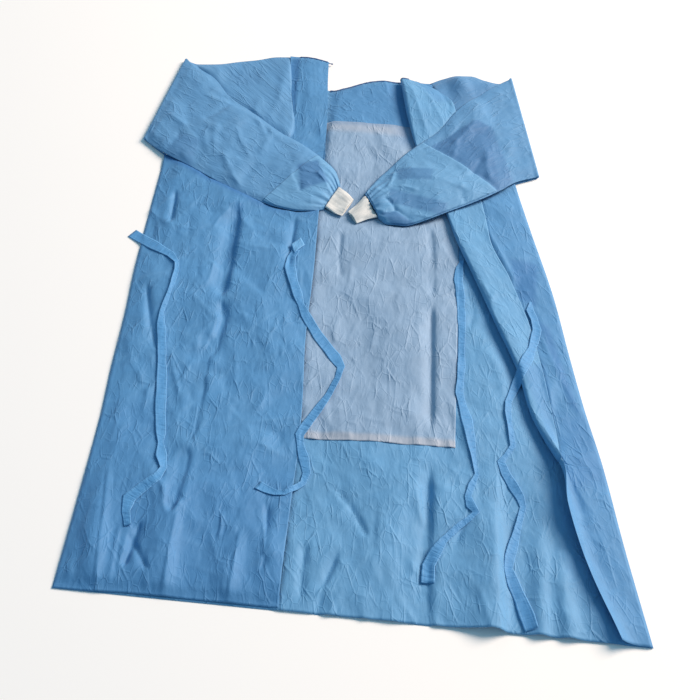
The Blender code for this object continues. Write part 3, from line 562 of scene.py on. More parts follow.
def read(table, key, name, at):
    """A table's column as a smooth curve over its key column."""
    return smooth(at, column(table, key), column(table, name))


def ease(value, start, end):
    """Rises softly from 0 at start to 1 at end."""
    t = np.clip((np.asarray(value, float) - start) / (end - start), 0, 1)
    return t * t * (3 - 2 * t)


def unit(vectors):
    """Vectors of length one."""
    vectors = np.asarray(vectors, float)
    return vectors / np.maximum(np.linalg.norm(vectors, axis=-1, keepdims=True), 1e-9)


def fold_height(folds, x, up):
    """How high the folds of a panel stand at a place."""
    height = np.zeros(np.broadcast(x, up).shape)
    for fold in folds:
        long = fold.top_up - fold.foot_up
        along = np.clip((fold.top_up - up) / long, 0, 1)
        off = x - (fold.top_x + (fold.foot_x - fold.top_x) * along)
        width = np.where(off < 0, fold.left_width, fold.right_width)
        rise = ease(along, 0, 0.75)
        if fold.foot_up > 0:
            rise = rise * ease(up, fold.foot_up - 0.3 * long, fold.foot_up)
        height = height + fold.height * rise * np.exp(-((off / width) ** 2))
    return height


def seen_at(px, py, z):
    """The place on the gown that the camera sees at a pixel of the photograph, if it is that high."""
    half, reach = PICTURE / 2, SENSOR / 2 / FOCAL_LENGTH
    ray = Vector(((px - half) / half * reach, (half - py) / half * reach, -1))
    ray = Euler(CAMERA_TURN).to_matrix() @ ray
    place = Vector(CAMERA_PLACE) + ray * ((z * MM - CAMERA_PLACE[2]) / ray.z)
    return place.x / MM, place.y / MM + LENGTH / 2


def crease_height(creases, x, up, level):
    """How far the creases of a panel raise or lower it at a place; each fades out towards its ends."""
    height = np.zeros(np.broadcast(x, up).shape)
    for row in creases:
        pixels = ((row.x1, row.y1), (row.x2, row.y2), (row.x3, row.y3))
        points = np.array([seen_at(px, py, level) for px, py in pixels])
        spans = np.linalg.norm(np.diff(points, axis=0), axis=1)
        best = np.full(height.shape, 1e9)
        side = np.zeros(height.shape)
        place = np.zeros(height.shape)
        for i in (0, 1):
            a, b = points[i], points[i + 1]
            heading = (b - a) / spans[i]
            along = np.clip((x - a[0]) * heading[0] + (up - a[1]) * heading[1], 0, spans[i])
            dx, du = x - (a[0] + heading[0] * along), up - (a[1] + heading[1] * along)
            far = np.hypot(dx, du)
            nearer = far < best
            best = np.where(nearer, far, best)
            side = np.where(nearer, dx * -heading[1] + du * heading[0], side)
            place = np.where(nearer, along + spans[0] * i, place)
        width = np.where(side > 0, row.right_width, row.left_width)
        ends = ease(place, 0, 0.2 * spans.sum()) * ease(spans.sum() - place, 0, 0.2 * spans.sum())
        height = height + row.height * ends * np.exp(-((best / width) ** 1.25))
    return height


def painted_shade_at(painted_shades, x, up, level):
    """How much the painted shade darkens the cloth at a place."""
    total = np.zeros(np.broadcast(x, up).shape)
    for row in painted_shades:
        pixels = ((row.x1, row.y1), (row.x2, row.y2), (row.x3, row.y3), (row.x4, row.y4))
        corners = np.array([seen_at(px, py, level) for px, py in pixels])
        centre = corners.mean(axis=0)
        inside = np.full(total.shape, 1e9)
        for a, b in zip(corners, np.roll(corners, -1, axis=0)):
            normal = np.array([a[1] - b[1], b[0] - a[0]]) / np.linalg.norm(b - a)
            normal = normal * np.sign((centre - a) @ normal)
            inside = np.minimum(inside, (x - a[0]) * normal[0] + (up - a[1]) * normal[1])
        total = np.maximum(total, row.strength * ease(inside, -row.soft / 2, row.soft / 2))
    return total


class Crumple:
    """The fine creases of thin cloth that was packed flat: small flat facets that meet in soft ridges."""

    STEP = 2.0
    LEFT, BOTTOM, WIDE, TALL = -540.0, -60.0, 1080.0, 1360.0

    def __init__(self, seed, spacing, tall, depth, ridge, ridge_width, share):
        self.chance = np.random.default_rng(seed)
        self.xs = np.arange(0, self.WIDE, self.STEP)
        self.ups = np.arange(0, self.TALL, self.STEP)
        self.facets = np.zeros((len(self.ups), len(self.xs)))
        self.ridges = np.zeros_like(self.facets)
        places = self.scattered(spacing, tall)
        verts, edges, faces = delaunay_2d_cdt([Vector(p) for p in places], [], [], 0, 0.01)[:3]
        verts = np.array([tuple(v) for v in verts])
        heights = self.chance.uniform(0, depth, len(verts))
        for face in faces:
            self.fill(verts[face], heights[face])
        strong = self.chance.random(len(edges)) < share
        for (a, b), height in zip(np.array(edges)[strong], self.chance.uniform(0.35, 1.0, strong.sum())):
            self.line(verts[a], verts[b], height, ridge_width)
        self.height = self.softened(self.facets) + ridge * self.softened(self.ridges)
        # Where the ridge lines run, for the painted highlight along them
        self.light = self.softened(self.ridges)

    def scattered(self, spacing, tall):
        """Places in rough rows, each moved a little at random."""
        gx, gu = np.meshgrid(
            np.arange(-spacing, self.WIDE + 2 * spacing, spacing),
            np.arange(-spacing * tall, self.TALL + 2 * spacing * tall, spacing * tall),
        )
        gx[1::2] += spacing / 2
        moved = self.chance.uniform(-0.42, 0.42, (gx.size, 2)) * [spacing, spacing * tall]
        return np.stack([gx.ravel(), gu.ravel()], axis=1) + moved

    def window(self, low, high):
        """The part of the grid between two corners."""
        first = np.maximum(np.ceil(low / self.STEP).astype(int), 0)
        last = np.floor(high / self.STEP).astype(int) + 1
        rows, columns = slice(first[1], max(last[1], 0)), slice(first[0], max(last[0], 0))
        return rows, columns, self.xs[columns][None, :], self.ups[rows][:, None]

    def fill(self, corners, heights):
        """One flat facet."""
        rows, columns, x, up = self.window(corners.min(axis=0), corners.max(axis=0))
        (ax, au), (bx, bu), (cx, cu) = corners[:3]
        whole = (bu - cu) * (ax - cx) + (cx - bx) * (au - cu)
        if abs(whole) < 1e-6 or x.size == 0 or up.size == 0:
            return
        p = ((bu - cu) * (x - cx) + (cx - bx) * (up - cu)) / whole
        q = ((cu - au) * (x - cx) + (ax - cx) * (up - cu)) / whole
        inside = (p >= -1e-9) & (q >= -1e-9) & (p + q <= 1 + 1e-9)
        value = p * heights[0] + q * heights[1] + (1 - p - q) * heights[2]
        patch = self.facets[rows, columns]
        patch[inside] = value[inside]

    def line(self, a, b, height, width):
        """One ridge between two places, thin at its ends."""
        reach = 2.2 * width
        rows, columns, x, up = self.window(np.minimum(a, b) - reach, np.maximum(a, b) + reach)
        span = np.linalg.norm(b - a)
        if x.size == 0 or up.size == 0 or span < 1e-6:
            return
        heading = (b - a) / span
        along = np.clip((x - a[0]) * heading[0] + (up - a[1]) * heading[1], 0, span)
        far = np.hypot(x - a[0] - heading[0] * along, up - a[1] - heading[1] * along)
        value = height * np.exp(-((far / width) ** 2)) * (0.35 + 0.65 * np.sin(np.pi * along / span))
        patch = self.ridges[rows, columns]
        np.maximum(patch, value, out=patch)

    @staticmethod
    def softened(grid):
        """The grid, averaged lightly with its neighbours."""
        for axis in (0, 1):
            grid = 0.25 * np.roll(grid, 1, axis) + 0.5 * grid + 0.25 * np.roll(grid, -1, axis)
        return grid

    def at(self, x, up, grid=None):
        """The height of the crumples at places on the cloth."""
        grid = self.height if grid is None else grid
        x, up = np.broadcast_arrays(np.asarray(x, float), np.asarray(up, float))
        c = np.clip((x - self.LEFT) / self.STEP, 0, len(self.xs) - 1.001)
        r = np.clip((up - self.BOTTOM) / self.STEP, 0, len(self.ups) - 1.001)
        i, j = r.astype(int), c.astype(int)
        s, t = r - i, c - j
        low = grid[i, j] * (1 - t) + grid[i, j + 1] * t
        high = grid[i + 1, j] * (1 - t) + grid[i + 1, j + 1] * t
        return low * (1 - s) + high * s


BROAD = Crumple(seed=2, spacing=76, tall=2.8, depth=12.0, ridge=0, ridge_width=3.0, share=0.0)
for _ in range(40):
    BROAD.height = BROAD.softened(BROAD.height)
COARSE = Crumple(seed=4, spacing=30, tall=2.8, depth=6.6, ridge=1.2, ridge_width=2.1, share=0.5)
FINE = Crumple(seed=9, spacing=14, tall=2.5, depth=2.4, ridge=0.8, ridge_width=1.6, share=0.35)


LOWERED = 5.5


def crumples(x, up, shift=(0.0, 0.0)):
    """The height of all sizes of crumples, taken from another part of the pattern for each piece."""
    small = COARSE.at(x + shift[0], up + shift[1]) + FINE.at(x + shift[1] / 2, up - shift[0] / 2)
    return small + BROAD.at(x - shift[1], up + shift[0]) - LOWERED


def painted_ridge_highlight(x, up, shift=(0.0, 0.0)):
    """How strongly a ridge line passes a place, for the paler colour painted along ridges as a painted highlight."""
    coarse = COARSE.at(x + shift[0], up + shift[1], COARSE.light)
    return coarse + 0.5 * FINE.at(x + shift[1] / 2, up - shift[0] / 2, FINE.light)


def front_z(x, up):
    """The underside of the front panel: on the surface, apart from its folds."""
    return fold_height(FRONT_FOLDS, x, up)


def left_back_z(x, up):
    """The underside of the left back panel."""
    return BACK_Z + fold_height(LEFT_BACK_FOLDS, x, up)


def edge_rows(name_x, name_up, side, body_ups, arm_steps):
    """Points up one side of a body panel: along its side edge, then along an armhole or free edge."""
    body = np.stack([read(BODY, "up", side, body_ups), body_ups], axis=1)
    upper = np.stack([column(ARMHOLES, name_x), column(ARMHOLES, name_up)], axis=1)
    key = np.arange(len(upper), dtype=float)
    at = np.linspace(0, len(upper) - 1, arm_steps)
    return np.concatenate([body, np.stack([smooth(at, key, upper[:, k]) for k in (0, 1)], axis=1)])


def between(left, right, across):
    """A grid of places between two edges."""
    u = np.asarray(across, float)[None, :, None]
    return left[:, None] * (1 - u) + right[:, None] * u


def grid_normals(grid):
    """The normals of a grid of points, from its neighbours."""
    return unit(np.cross(np.gradient(grid, axis=1), np.gradient(grid, axis=0)))


def tube_normals(grid):
    """The normals of a grid of points whose columns close to a ring."""
    round_ = np.roll(grid, -1, axis=1) - np.roll(grid, 1, axis=1)
    return unit(np.cross(round_, np.gradient(grid, axis=0)))


def steps_between(points, axis):
    """Distances from the first point to each point along one direction of a grid."""
    steps = np.linalg.norm(np.diff(points, axis=axis), axis=-1)
    zero = np.zeros_like(np.take(steps, [0], axis=axis))
    return np.cumsum(np.concatenate([zero, steps], axis=axis), axis=axis)


def shell(name, top, normals, finishes, ring=False, thickness=CLOTH, tone=None, painted_shade=None, uv=None):
    """A sheet of cloth with two sides: a grid of points of its upper side, and the same moved in."""
    rows, columns = top.shape[:2]
    points = np.concatenate([top.reshape(-1, 3), (top - normals * thickness).reshape(-1, 3)])
    count = rows * columns
    index = np.arange(count).reshape(rows, columns)
    if uv is None:
        across = steps_between(top, 1)
        middle = across[:, -1:] / 2
        uv = np.dstack([across - middle, np.broadcast_to(steps_between(top, 0)[:, :1], across.shape)])
    if ring:
        index = np.concatenate([index, index[:, :1]], axis=1)
        closing = np.linalg.norm(top[:, :1] - top[:, -1:], axis=-1, keepdims=True) * [1, 0]
        uv = np.concatenate([uv, uv[:, -1:] + closing], axis=1)
    a, b, c, d = index[:-1, :-1], index[:-1, 1:], index[1:, 1:], index[1:, :-1]
    outside = np.stack([a, b, c, d], axis=-1).reshape(-1, 4)
    corners = [uv[:-1, :-1], uv[:-1, 1:], uv[1:, 1:], uv[1:, :-1]]
    corner_uv = np.stack(corners, axis=2).reshape(-1, 4, 2)
    faces = [outside, outside[:, ::-1] + count]
    places = [corner_uv, corner_uv[:, ::-1]]
    if ring:
        rims = [(index[0], uv[0]), (index[-1][::-1], uv[-1][::-1])]
    else:
        loop = [index[0], index[1:, -1], index[-1, -2::-1], index[-2::-1, 0]]
        loop_uv = [uv[0], uv[1:, -1], uv[-1, -2::-1], uv[-2::-1, 0]]
        rims = [(np.concatenate(loop), np.concatenate(loop_uv))]
    for rim, rim_uv in rims:
        low, high = rim[:-1], rim[1:]
        faces.append(np.stack([low, low + count, high + count, high], axis=-1))
        places.append(np.stack([rim_uv[:-1], rim_uv[:-1], rim_uv[1:], rim_uv[1:]], axis=1))
    faces, places = np.concatenate(faces), np.concatenate(places)
    metres = (points - [0, LENGTH / 2, 0]) * MM
    mesh = bpy.data.meshes.new(name)
    mesh.vertices.add(len(metres))
    mesh.vertices.foreach_set("co", metres.astype(np.float32).ravel())
    mesh.loops.add(faces.size)
    mesh.loops.foreach_set("vertex_index", faces.astype(np.int32).ravel())
    mesh.polygons.add(len(faces))
    mesh.polygons.foreach_set("loop_start", np.arange(0, faces.size, 4, dtype=np.int32))
    layer = mesh.uv_layers.new(name="cloth")
    layer.data.foreach_set("uv", (places * MM).astype(np.float32).ravel())
    side = np.zeros(len(faces), np.int32)
    if len(finishes) > 1:
        side[len(outside) : 2 * len(outside)] = 1
    for finish in finishes:
        mesh.materials.append(finish)
    mesh.polygons.foreach_set("material_index", side)
    for kind, values in (("tone", tone), ("painted_shade", painted_shade)):
        values = np.zeros(count) if values is None else np.asarray(values, float).ravel()
        attribute = mesh.attributes.new(kind, "FLOAT", "POINT")
        attribute.data.foreach_set("value", np.concatenate([values, values]).astype(np.float32))
    mesh.update(calc_edges=True)
    mesh.validate()
    mesh.shade_smooth()
    obj = bpy.data.objects.new(name, mesh)
    bpy.context.scene.collection.objects.link(obj)
    return obj


CUTS = {}


def note_cut(name, grid, around=1):
    """Keeps the flat size and area that a piece is cut to, from its smooth form, all round on a tube."""
    a, b, c, d = grid[:-1, :-1], grid[:-1, 1:], grid[1:, 1:], grid[1:, :-1]
    area = np.linalg.norm(np.cross(c - a, d - b), axis=-1).sum() / 2 * around
    width = np.linalg.norm(np.diff(grid, axis=1), axis=-1).sum(axis=1).max() * around
    length = np.linalg.norm(np.diff(grid, axis=0), axis=-1).sum(axis=0).max()
    CUTS[name] = (width * MM, length * MM, area * MM * MM)


def as_flat(plan):
    """Places on the surface as points with no height."""
    return np.dstack([plan, np.zeros(plan.shape[:2])])


# Materials


class Value:
    """A number in a material, with Python's own signs for its maths."""

    def __init__(self, finish, socket):
        self.finish, self.socket = finish, socket

    def maths(self, operation, a, b, clamp=False):
        settings = {"operation": operation, "use_clamp": clamp}
        return self.finish.node("ShaderNodeMath", settings, {0: a, 1: b})

    def __add__(self, other):
        return self.maths("ADD", self, other)

    def __sub__(self, other):
        return self.maths("SUBTRACT", self, other)

    def __rsub__(self, other):
        return self.maths("SUBTRACT", other, self)

    def __mul__(self, other):
        return self.maths("MULTIPLY", self, other)

    def __truediv__(self, other):
        return self.maths("DIVIDE", self, other)

    def __pow__(self, other):
        return self.maths("POWER", self, other)

    def __gt__(self, other):
        return self.maths("GREATER_THAN", self, other)

    __radd__, __rmul__ = __add__, __mul__

    def clamped(self):
        return self.maths("ADD", self, 0.0, clamp=True)


class Finish:
    """One material, made from nodes."""

    def __init__(self, name, display):
        self.made = bpy.data.materials.new(name)
        self.made.use_nodes = True
        self.made.diffuse_color = (*display, 1)
        self.tree = self.made.node_tree
        self.shader = self.tree.nodes["Principled BSDF"]

    def node(self, kind, settings=None, sockets=None, output=0):
        """One node: its settings first, then the values or links of its sockets."""
        made = self.tree.nodes.new(kind)
        for name, value in (settings or {}).items():
            setattr(made, name, value)
        for name, value in (sockets or {}).items():
            self.put(made.inputs[name], value)
        return Value(self, made.outputs[output])

    def put(self, socket, value):
        """Links a value to a socket, or sets it."""
        if isinstance(value, Value):
            self.tree.links.new(value.socket, socket)
        else:
            socket.default_value = value

    def surface(self, **sockets):
        """Sets sockets of the shader by their names, with spaces as underscores."""
        for name, value in sockets.items():
            self.put(self.shader.inputs[name.replace("_", " ")], value)
        return self.made

    def mix(self, factor, first, second):
        """A colour between two colours."""
        settings = {"data_type": "RGBA"}
        sockets = {0: factor, 6: first, 7: second}
        return self.node("ShaderNodeMix", settings, sockets, output=2)

    def noise(self, where, scale, detail=2.0, roughness=0.5, distortion=0.0):
        """A soft random pattern."""
        sockets = {"Vector": where, "Scale": scale, "Detail": detail}
        sockets.update({"Roughness": roughness, "Distortion": distortion})
        return self.node("ShaderNodeTexNoise", {}, sockets)

    def stretched(self, where, across, along, turn=0.0):
        """The same places, scaled across and along the cloth and turned."""
        sockets = {"Vector": where, "Rotation": (0, 0, turn), "Scale": (across, along, 1)}
        return self.node("ShaderNodeMapping", {}, sockets)

    def crease_lines(self, where, across, along, turn):
        """Thin straight creases of uneven strength, where flat facets meet."""
        swing = self.node("ShaderNodeTexNoise", {}, {"Vector": where, "Scale": 14.0}, output=1)
        swing = self.node("ShaderNodeVectorMath", {"operation": "SUBTRACT"}, {0: swing, 1: (0.5, 0.5, 0.5)})
        swing = self.node("ShaderNodeVectorMath", {"operation": "SCALE"}, {0: swing, "Scale": 0.008})
        moved = self.node("ShaderNodeVectorMath", {"operation": "ADD"}, {0: where, 1: swing})
        cells = {"Vector": self.stretched(moved, across, along, turn), "Scale": 1.0}
        far = self.node("ShaderNodeTexVoronoi", {"feature": "DISTANCE_TO_EDGE"}, cells)
        strength = (self.noise(where, 24.0, 2.0) * 4.0 - 1.6).clamped()
        return (1 - far * 13.0).clamped() * strength

    def bump(self, height, distance, strength=1.0, below=None):
        """A small relief."""
        sockets = {"Height": height, "Distance": distance, "Strength": strength}
        if below is not None:
            sockets["Normal"] = below
        return self.node("ShaderNodeBump", {}, sockets)


def nonwoven(name, flat, worn, worn_and_highlight_share=0.2, painted_shade_scale=(0.25, 0.52, 0.74), roughness=0.6, sheen=0.08):
    """Soft nonwoven cloth: fine fibres, pressed dots, mottled colour, thin creases, a paler colour where its tone
    attribute asks, and painted shade.
    """
    deep, light = [0.84 * c for c in flat], [min(1.14 * c, 1) for c in flat]
    # dark is the colour of the painted shade: the flat colour scaled channel by channel
    dark = (*(part * share for part, share in zip(flat, painted_shade_scale)), 1)
    f = Finish(name, flat)
    cloth = f.node("ShaderNodeTexCoord", output=2)
    tone = f.node("ShaderNodeAttribute", {"attribute_name": "tone"}, output=2)
    painted_shade = f.node("ShaderNodeAttribute", {"attribute_name": "painted_shade"}, output=2)
    broad = f.noise(cloth, 22.0, 4.0, 0.6)
    streaks = f.noise(f.stretched(cloth, 420.0, 90.0, 0.12), 1.0, 3.0, 0.6, 0.3)
    threads = f.noise(f.stretched(cloth, 260.0, 1300.0, 0.6), 1.0, 2.0, 0.6, 0.6)
    fibres = f.noise(cloth, 900.0, 3.0, 0.65)
    dots = f.node("ShaderNodeTexVoronoi", {}, {"Vector": cloth, "Scale": 560.0, "Randomness": 0.25})
    amount = (broad * 1.1 + streaks * 0.5 + threads * 0.35 + fibres * 0.35 - 0.65).clamped()
    body = f.mix(amount, (*deep, 1), (*light, 1))
    # The tone attribute mixes in the paler worn colour: on the blue sheets a painted highlight along ridge lines, on
    # the reinforcement the paler colour of its seams
    body = f.mix((tone * worn_and_highlight_share).clamped(), body, (*worn, 1))
    # Painted shade: the shade attribute mixes the dark colour in
    body = f.mix(painted_shade.clamped(), body, dark)
    relief = streaks * 0.8 + threads * 0.5 + fibres * 0.7 + (0.6 - dots).clamped() * 0.8
    rough = fibres * 0.16 + roughness
    lines = f.crease_lines(cloth, 44.0, 20.0, 0.12) + f.crease_lines(cloth, 90.0, 48.0, -0.3) * 0.55
    facets = f.noise(f.stretched(cloth, 60.0, 26.0, -0.1), 1.0, 2.0, 0.45, 0.4)
    normal = f.bump(lines * 0.6 + facets * 1.6, 0.0012, 1.0)
    normal = f.bump(relief, 0.00022, 0.5, normal)
    return f.surface(
        Base_Color=body, Roughness=rough, Normal=normal, Sheen_Weight=sheen, Sheen_Roughness=0.5
    )


def knitted(name, deep, light):
    """Off-white rib knit: ribs along the cuff and small stitches on each rib."""
    f = Finish(name, light)
    cloth = f.node("ShaderNodeTexCoord", output=2)
    ribs = f.node("ShaderNodeTexWave", {"bands_direction": "X"}, {"Vector": cloth, "Scale": 150.0})
    loops = f.node("ShaderNodeTexWave", {"bands_direction": "Y"}, {"Vector": cloth, "Scale": 260.0})
    fuzz = f.noise(cloth, 1200.0, 3.0, 0.6)
    worn = f.noise(cloth, 60.0, 3.0, 0.6)
    amount = (ribs * 0.25 + loops * 0.1 + fuzz * 0.25 + worn * 1.3 - 0.35).clamped()
    body = f.mix(amount, (*deep, 1), (*light, 1))
    normal = f.bump(ribs * 0.5 + loops * 0.2 + fuzz * 0.4, 0.0004, 0.6)
    return f.surface(Base_Color=body, Roughness=0.9, Normal=normal, Sheen_Weight=0.2)


def sewn(name, flat, worn):
    """Self cloth of the ties and bindings, puckered, with a row of stitches near each edge."""
    deep, light = [0.8 * c for c in flat], [min(1.2 * c, 1) for c in flat]
    f = Finish(name, flat)
    cloth = f.node("ShaderNodeTexCoord", output=2)
    across = f.node("ShaderNodeSeparateXYZ", {}, {0: cloth}, output=0)
    along = f.node("ShaderNodeSeparateXYZ", {}, {0: cloth}, output=1)
    tone = f.node("ShaderNodeAttribute", {"attribute_name": "tone"}, output=2)
    off = f.node("ShaderNodeMath", {"operation": "ABSOLUTE"}, {0: across})
    near = f.node("ShaderNodeMath", {"operation": "ABSOLUTE"}, {0: off - 0.0062})
    seam = (1 - near / 0.0008).clamped()
    stitch = f.node("ShaderNodeMath", {"operation": "SINE"}, {0: along * 2500.0})
    stitch = (stitch * 0.5 + 0.5) * seam
    streaks = f.noise(f.stretched(cloth, 500.0, 50.0), 1.0, 3.0, 0.6, 0.3)
    fibres = f.noise(cloth, 900.0, 3.0, 0.65)
    puckers = f.noise(f.stretched(cloth, 60.0, 170.0, 0.35), 1.0, 1.5, 0.5, 0.5)
    amount = (streaks * 0.9 + fibres * 0.4 - 0.2).clamped()
    body = f.mix(amount, (*deep, 1), (*light, 1))
    body = f.mix((tone * 0.5).clamped(), body, (*worn, 1))
    body = f.mix(seam * 0.45, body, (*deep, 1))
    body = f.mix(stitch * 0.5, body, (*worn, 1))
    relief = streaks * 0.8 + fibres * 0.6 - seam * 1.2 + stitch * 0.8
    normal = f.bump(puckers, 0.0022, 0.8)
    normal = f.bump(relief, 0.0003, 0.45, normal)
    return f.surface(Base_Color=body, Roughness=0.66, Normal=normal, Sheen_Weight=0.1)


# Pieces


def cuff_cover(x, up):
    """1 where the cuffs lie, 0 elsewhere."""
    return np.exp(-(((x + 45) / 62) ** 4) - ((up - 802) / 62) ** 4)


def front_surface(x, up):
    """The top of the front where it shows: its folds, its creases and its crumples."""
    free = read(BODY, "up", "left_free", np.clip(up, 0, 893))
    turn = read(TURNS, "up", "centre", np.clip(up, 0, 1156))
    shown = ease(x, free - 12, free + 6) * (1 - ease(x, turn - 40, turn - 8))
    covered = np.maximum(forearm_cover(x, up, LEFT_FOREARM), forearm_cover(x, up, RIGHT_FOREARM))
    shown = shown * (1 - 0.85 * np.maximum(covered, cuff_cover(x, up)))
    soft = 0.8 * crumples(x, up) * (0.15 + 0.85 * ease(up, 0, 40))
    creased = 1.8 * (crease_height(FRONT_CREASES, x, up, 5) + crease_height(REINFORCED_CREASES, x, up, 6))
    soft = soft * (1 - 0.5 * np.minimum(np.abs(creased) / 3, 1)) + creased
    return FRONT_Z + CLOTH + front_z(x, up) + np.maximum(1.0 + soft, 0.0) * shown, shown


def front_panel(outside, inside):
    """The whole front with its neckline, inside up."""
    ups = np.concatenate([np.arange(0, 336, 4.2), np.arange(340, 885, 6.4)])
    fine = np.arange(-70, 420, 3.2)
    across = np.concatenate([np.arange(-378, -72, 14.0), fine, np.arange(424, 455, 10.0)])
    across = (across + 378) / (across[-1] + 378)
    left = edge_rows("left_x", "left_up", "left_side", ups, 56)
    right = edge_rows("right_x", "right_up", "right_side", ups, 56)
    plan = between(left, right, across)
    dip = read(NECKLINE, "across", "dip", across)
    plan[..., 1] -= dip * ease(plan[..., 1], NECK_DIP_FROM, plan[-1:, :, 1])
    note_cut("front_sheet", as_flat(plan))
    x, up = plan[..., 0], plan[..., 1]
    z, shown = front_surface(x, up)
    right_end = read(REINFORCED, "up", "right", np.clip(up, 287, 1024))
    under = ease(up, 300, 318) * (1 - ease(up, 1000, 1016)) * (1 - ease(x, right_end - 18, right_end - 8))
    z = z + (FRONT_Z + CLOTH - z) * under * ease(x, -174, -164)
    # Painted shade beside the lapel at the neck, along the roll and in the hollow at the lower right
    painted_shade = painted_shade_at(FRONT_PAINTED_SHADES, x, up, 4)
    top = np.dstack([plan, z])
    # Painted highlight along the ridge lines
    tone = painted_ridge_highlight(x, up) * shown
    return shell("front_sheet", top, grid_normals(top), [inside, outside], tone=tone, painted_shade=painted_shade)


def reinforcement_panel(finish):
    """The pale panel on the inner face of the front, with the puckers of its lower seam."""
    ups = np.concatenate([np.arange(287, 330, 2.5), np.arange(330, 1024.1, 3.8)])
    across = np.linspace(0, 1, 150)
    left, right = read(REINFORCED, "up", "left", ups), read(REINFORCED, "up", "right", ups)
    x = left[:, None] + (right - left)[:, None] * across
    up = ups[:, None] + REINFORCED_TILT * across
    note_cut("reinforcement_sheet", np.dstack([x, up, np.zeros(x.shape)]))
    surface, shown = front_surface(x, up)
    drop = up - REINFORCED_TILT * across
    wave = np.sin(x / 5.1 + 2.0 * np.sin(x / 23.0)) * (0.6 + 0.4 * np.sin(x / 11.0))
    pucker = 1.1 * np.maximum(wave, -0.3) * (1 - ease(drop, 292, 326)) * shown
    ruffle = 0.35 * np.sin(x / 3.7 + up / 19.0) * (1 - ease(drop, 300, 420)) * shown
    edge = np.minimum(1, np.minimum(across, 1 - across) * 40)
    z = surface + 0.9 + (pucker + ruffle) * (0.25 + 0.75 * edge)
    top = np.dstack([x, up, z])
    seams = np.maximum(1 - ease(drop, 296, 306), 0.7 * ease(drop, 984, 1002))
    # Painted shade from the front's table where it reaches the reinforcement
    painted_shade = painted_shade_at(FRONT_PAINTED_SHADES, x, up, 6)
    return shell("reinforcement_sheet", top, grid_normals(top), [finish], tone=seams, painted_shade=painted_shade)


def forearm_cover(x, up, forearm):
    """1 where a forearm lies over a place, 0 elsewhere."""
    upper = np.stack([column(forearm, "upper_x"), column(forearm, "upper_up")], axis=1)
    lower = np.stack([column(forearm, "lower_x"), column(forearm, "lower_up")], axis=1)
    flip = 1 if upper[0, 0] < upper[-1, 0] else -1
    over_top = np.interp(flip * x, flip * upper[:, 0], upper[:, 1])
    over_low = np.interp(flip * x, flip * lower[:, 0], lower[:, 1])
    reach = ease(flip * x, flip * upper[0, 0] - 20, flip * upper[0, 0])
    reach = reach * (1 - ease(flip * x, flip * upper[-1, 0] + 10, flip * upper[-1, 0] + 30))
    return reach * ease(up, over_low - 4, over_low + 8) * (1 - ease(up, over_top - 8, over_top + 4))


def forearm_gap(x, up, forearm):
    """How far below a forearm's lower edge a place is."""
    lower = np.stack([column(forearm, "lower_x"), column(forearm, "lower_up")], axis=1)
    flip = 1 if lower[0, 0] < lower[-1, 0] else -1
    return np.interp(flip * x, flip * lower[:, 0], lower[:, 1]) - up


def left_back_panel(outside, inside):
    """The back panel at the left, folded over the front with its outside up."""
    ups = np.arange(0, 890, 3.4)
    left = edge_rows("left_x", "left_up", "left_side", ups, 60)
    right = edge_rows("free_x", "free_up", "left_free", ups, 60)
    across = np.linspace(0, 1, 145)
    plan = between(left, right, across)
    note_cut("left_back_sheet", as_flat(plan))
    x, up = plan[..., 0], plan[..., 1]
    covered = forearm_cover(x, up, LEFT_FOREARM)
    from_side = across[None] * np.linalg.norm(right - left, axis=1)[:, None]
    plan[..., 1] += 3.0 * (1 - ease(up, 0, 24)) * ease(from_side, 40, 110)
    calm = (0.12 + 0.88 * ease(from_side, 0, 40)) * (0.2 + 0.8 * ease(up, 0, 40))
    calm = calm * (1 - 0.4 * ease(up, 900, 960))
    creased = 2.1 * crease_height(LEFT_BACK_CREASES, x, up, 6)
    soft = crumples(x, up, (-60.0, 40.0)) * calm * (1 - 0.55 * np.minimum(np.abs(creased) / 3, 1)) + creased
    level = BACK_Z + (left_back_z(x, up) - BACK_Z) * (0.4 + 0.6 * ease(up, 0, 70))
    z = level + CLOTH + (1.2 * calm + np.maximum(soft, -1.2 * calm)) * (1 - 0.88 * covered)
    z = 1.0 + (z - 1.0) * (0.2 + 0.8 * ease(up, 0, 22))
    rolled = 1 - (1 - ease(from_side, -1, 4)) * (1 - ease(up, 850, 895))
    z = 1.0 + (z - 1.0) * rolled
    z = np.maximum(z, front_surface(x, up)[0] + 1.7 * (x > -185) * (up > 285) + 0.7)
    top = np.dstack([plan, z])
    # Painted highlight along the ridge lines
    tone = painted_ridge_highlight(x, up, (-60.0, 40.0)) * (1 - covered)
    # Painted shadow on the cloth just below the left forearm's lower edge, weaker towards the wrist
    near = forearm_cover(x, up + 26, LEFT_FOREARM) * (1 - ease(forearm_gap(x, up, LEFT_FOREARM), -4, 20))
    # Painted shade along creases and beside the armhole, and broad darker stretches at the lower left
    painted_shade = np.maximum(painted_shade_at(BACK_PAINTED_SHADES, x, up, 6), near * (1 - 0.6 * ease(x, -260, -130)))
    return shell(
        "left_back_sheet", top, grid_normals(top), [outside, inside], tone=tone, painted_shade=painted_shade
    )


def right_edge(up):
    """The outer edge of the right back panel: the side edge, then the armhole."""
    if up < ARMHOLES[0].right_up:
        return float(read(BODY, "up", "right_side", up))
    return float(np.interp(up, column(ARMHOLES, "right_up"), column(ARMHOLES, "right_x")))


def right_edges(up):
    """The outer edge of the right back panel at many heights."""
    side = read(BODY, "up", "right_side", np.clip(up, 0, 893))
    armhole = np.interp(up, column(ARMHOLES, "right_up"), column(ARMHOLES, "right_x"))
    return np.where(up < ARMHOLES[0].right_up, side, armhole)


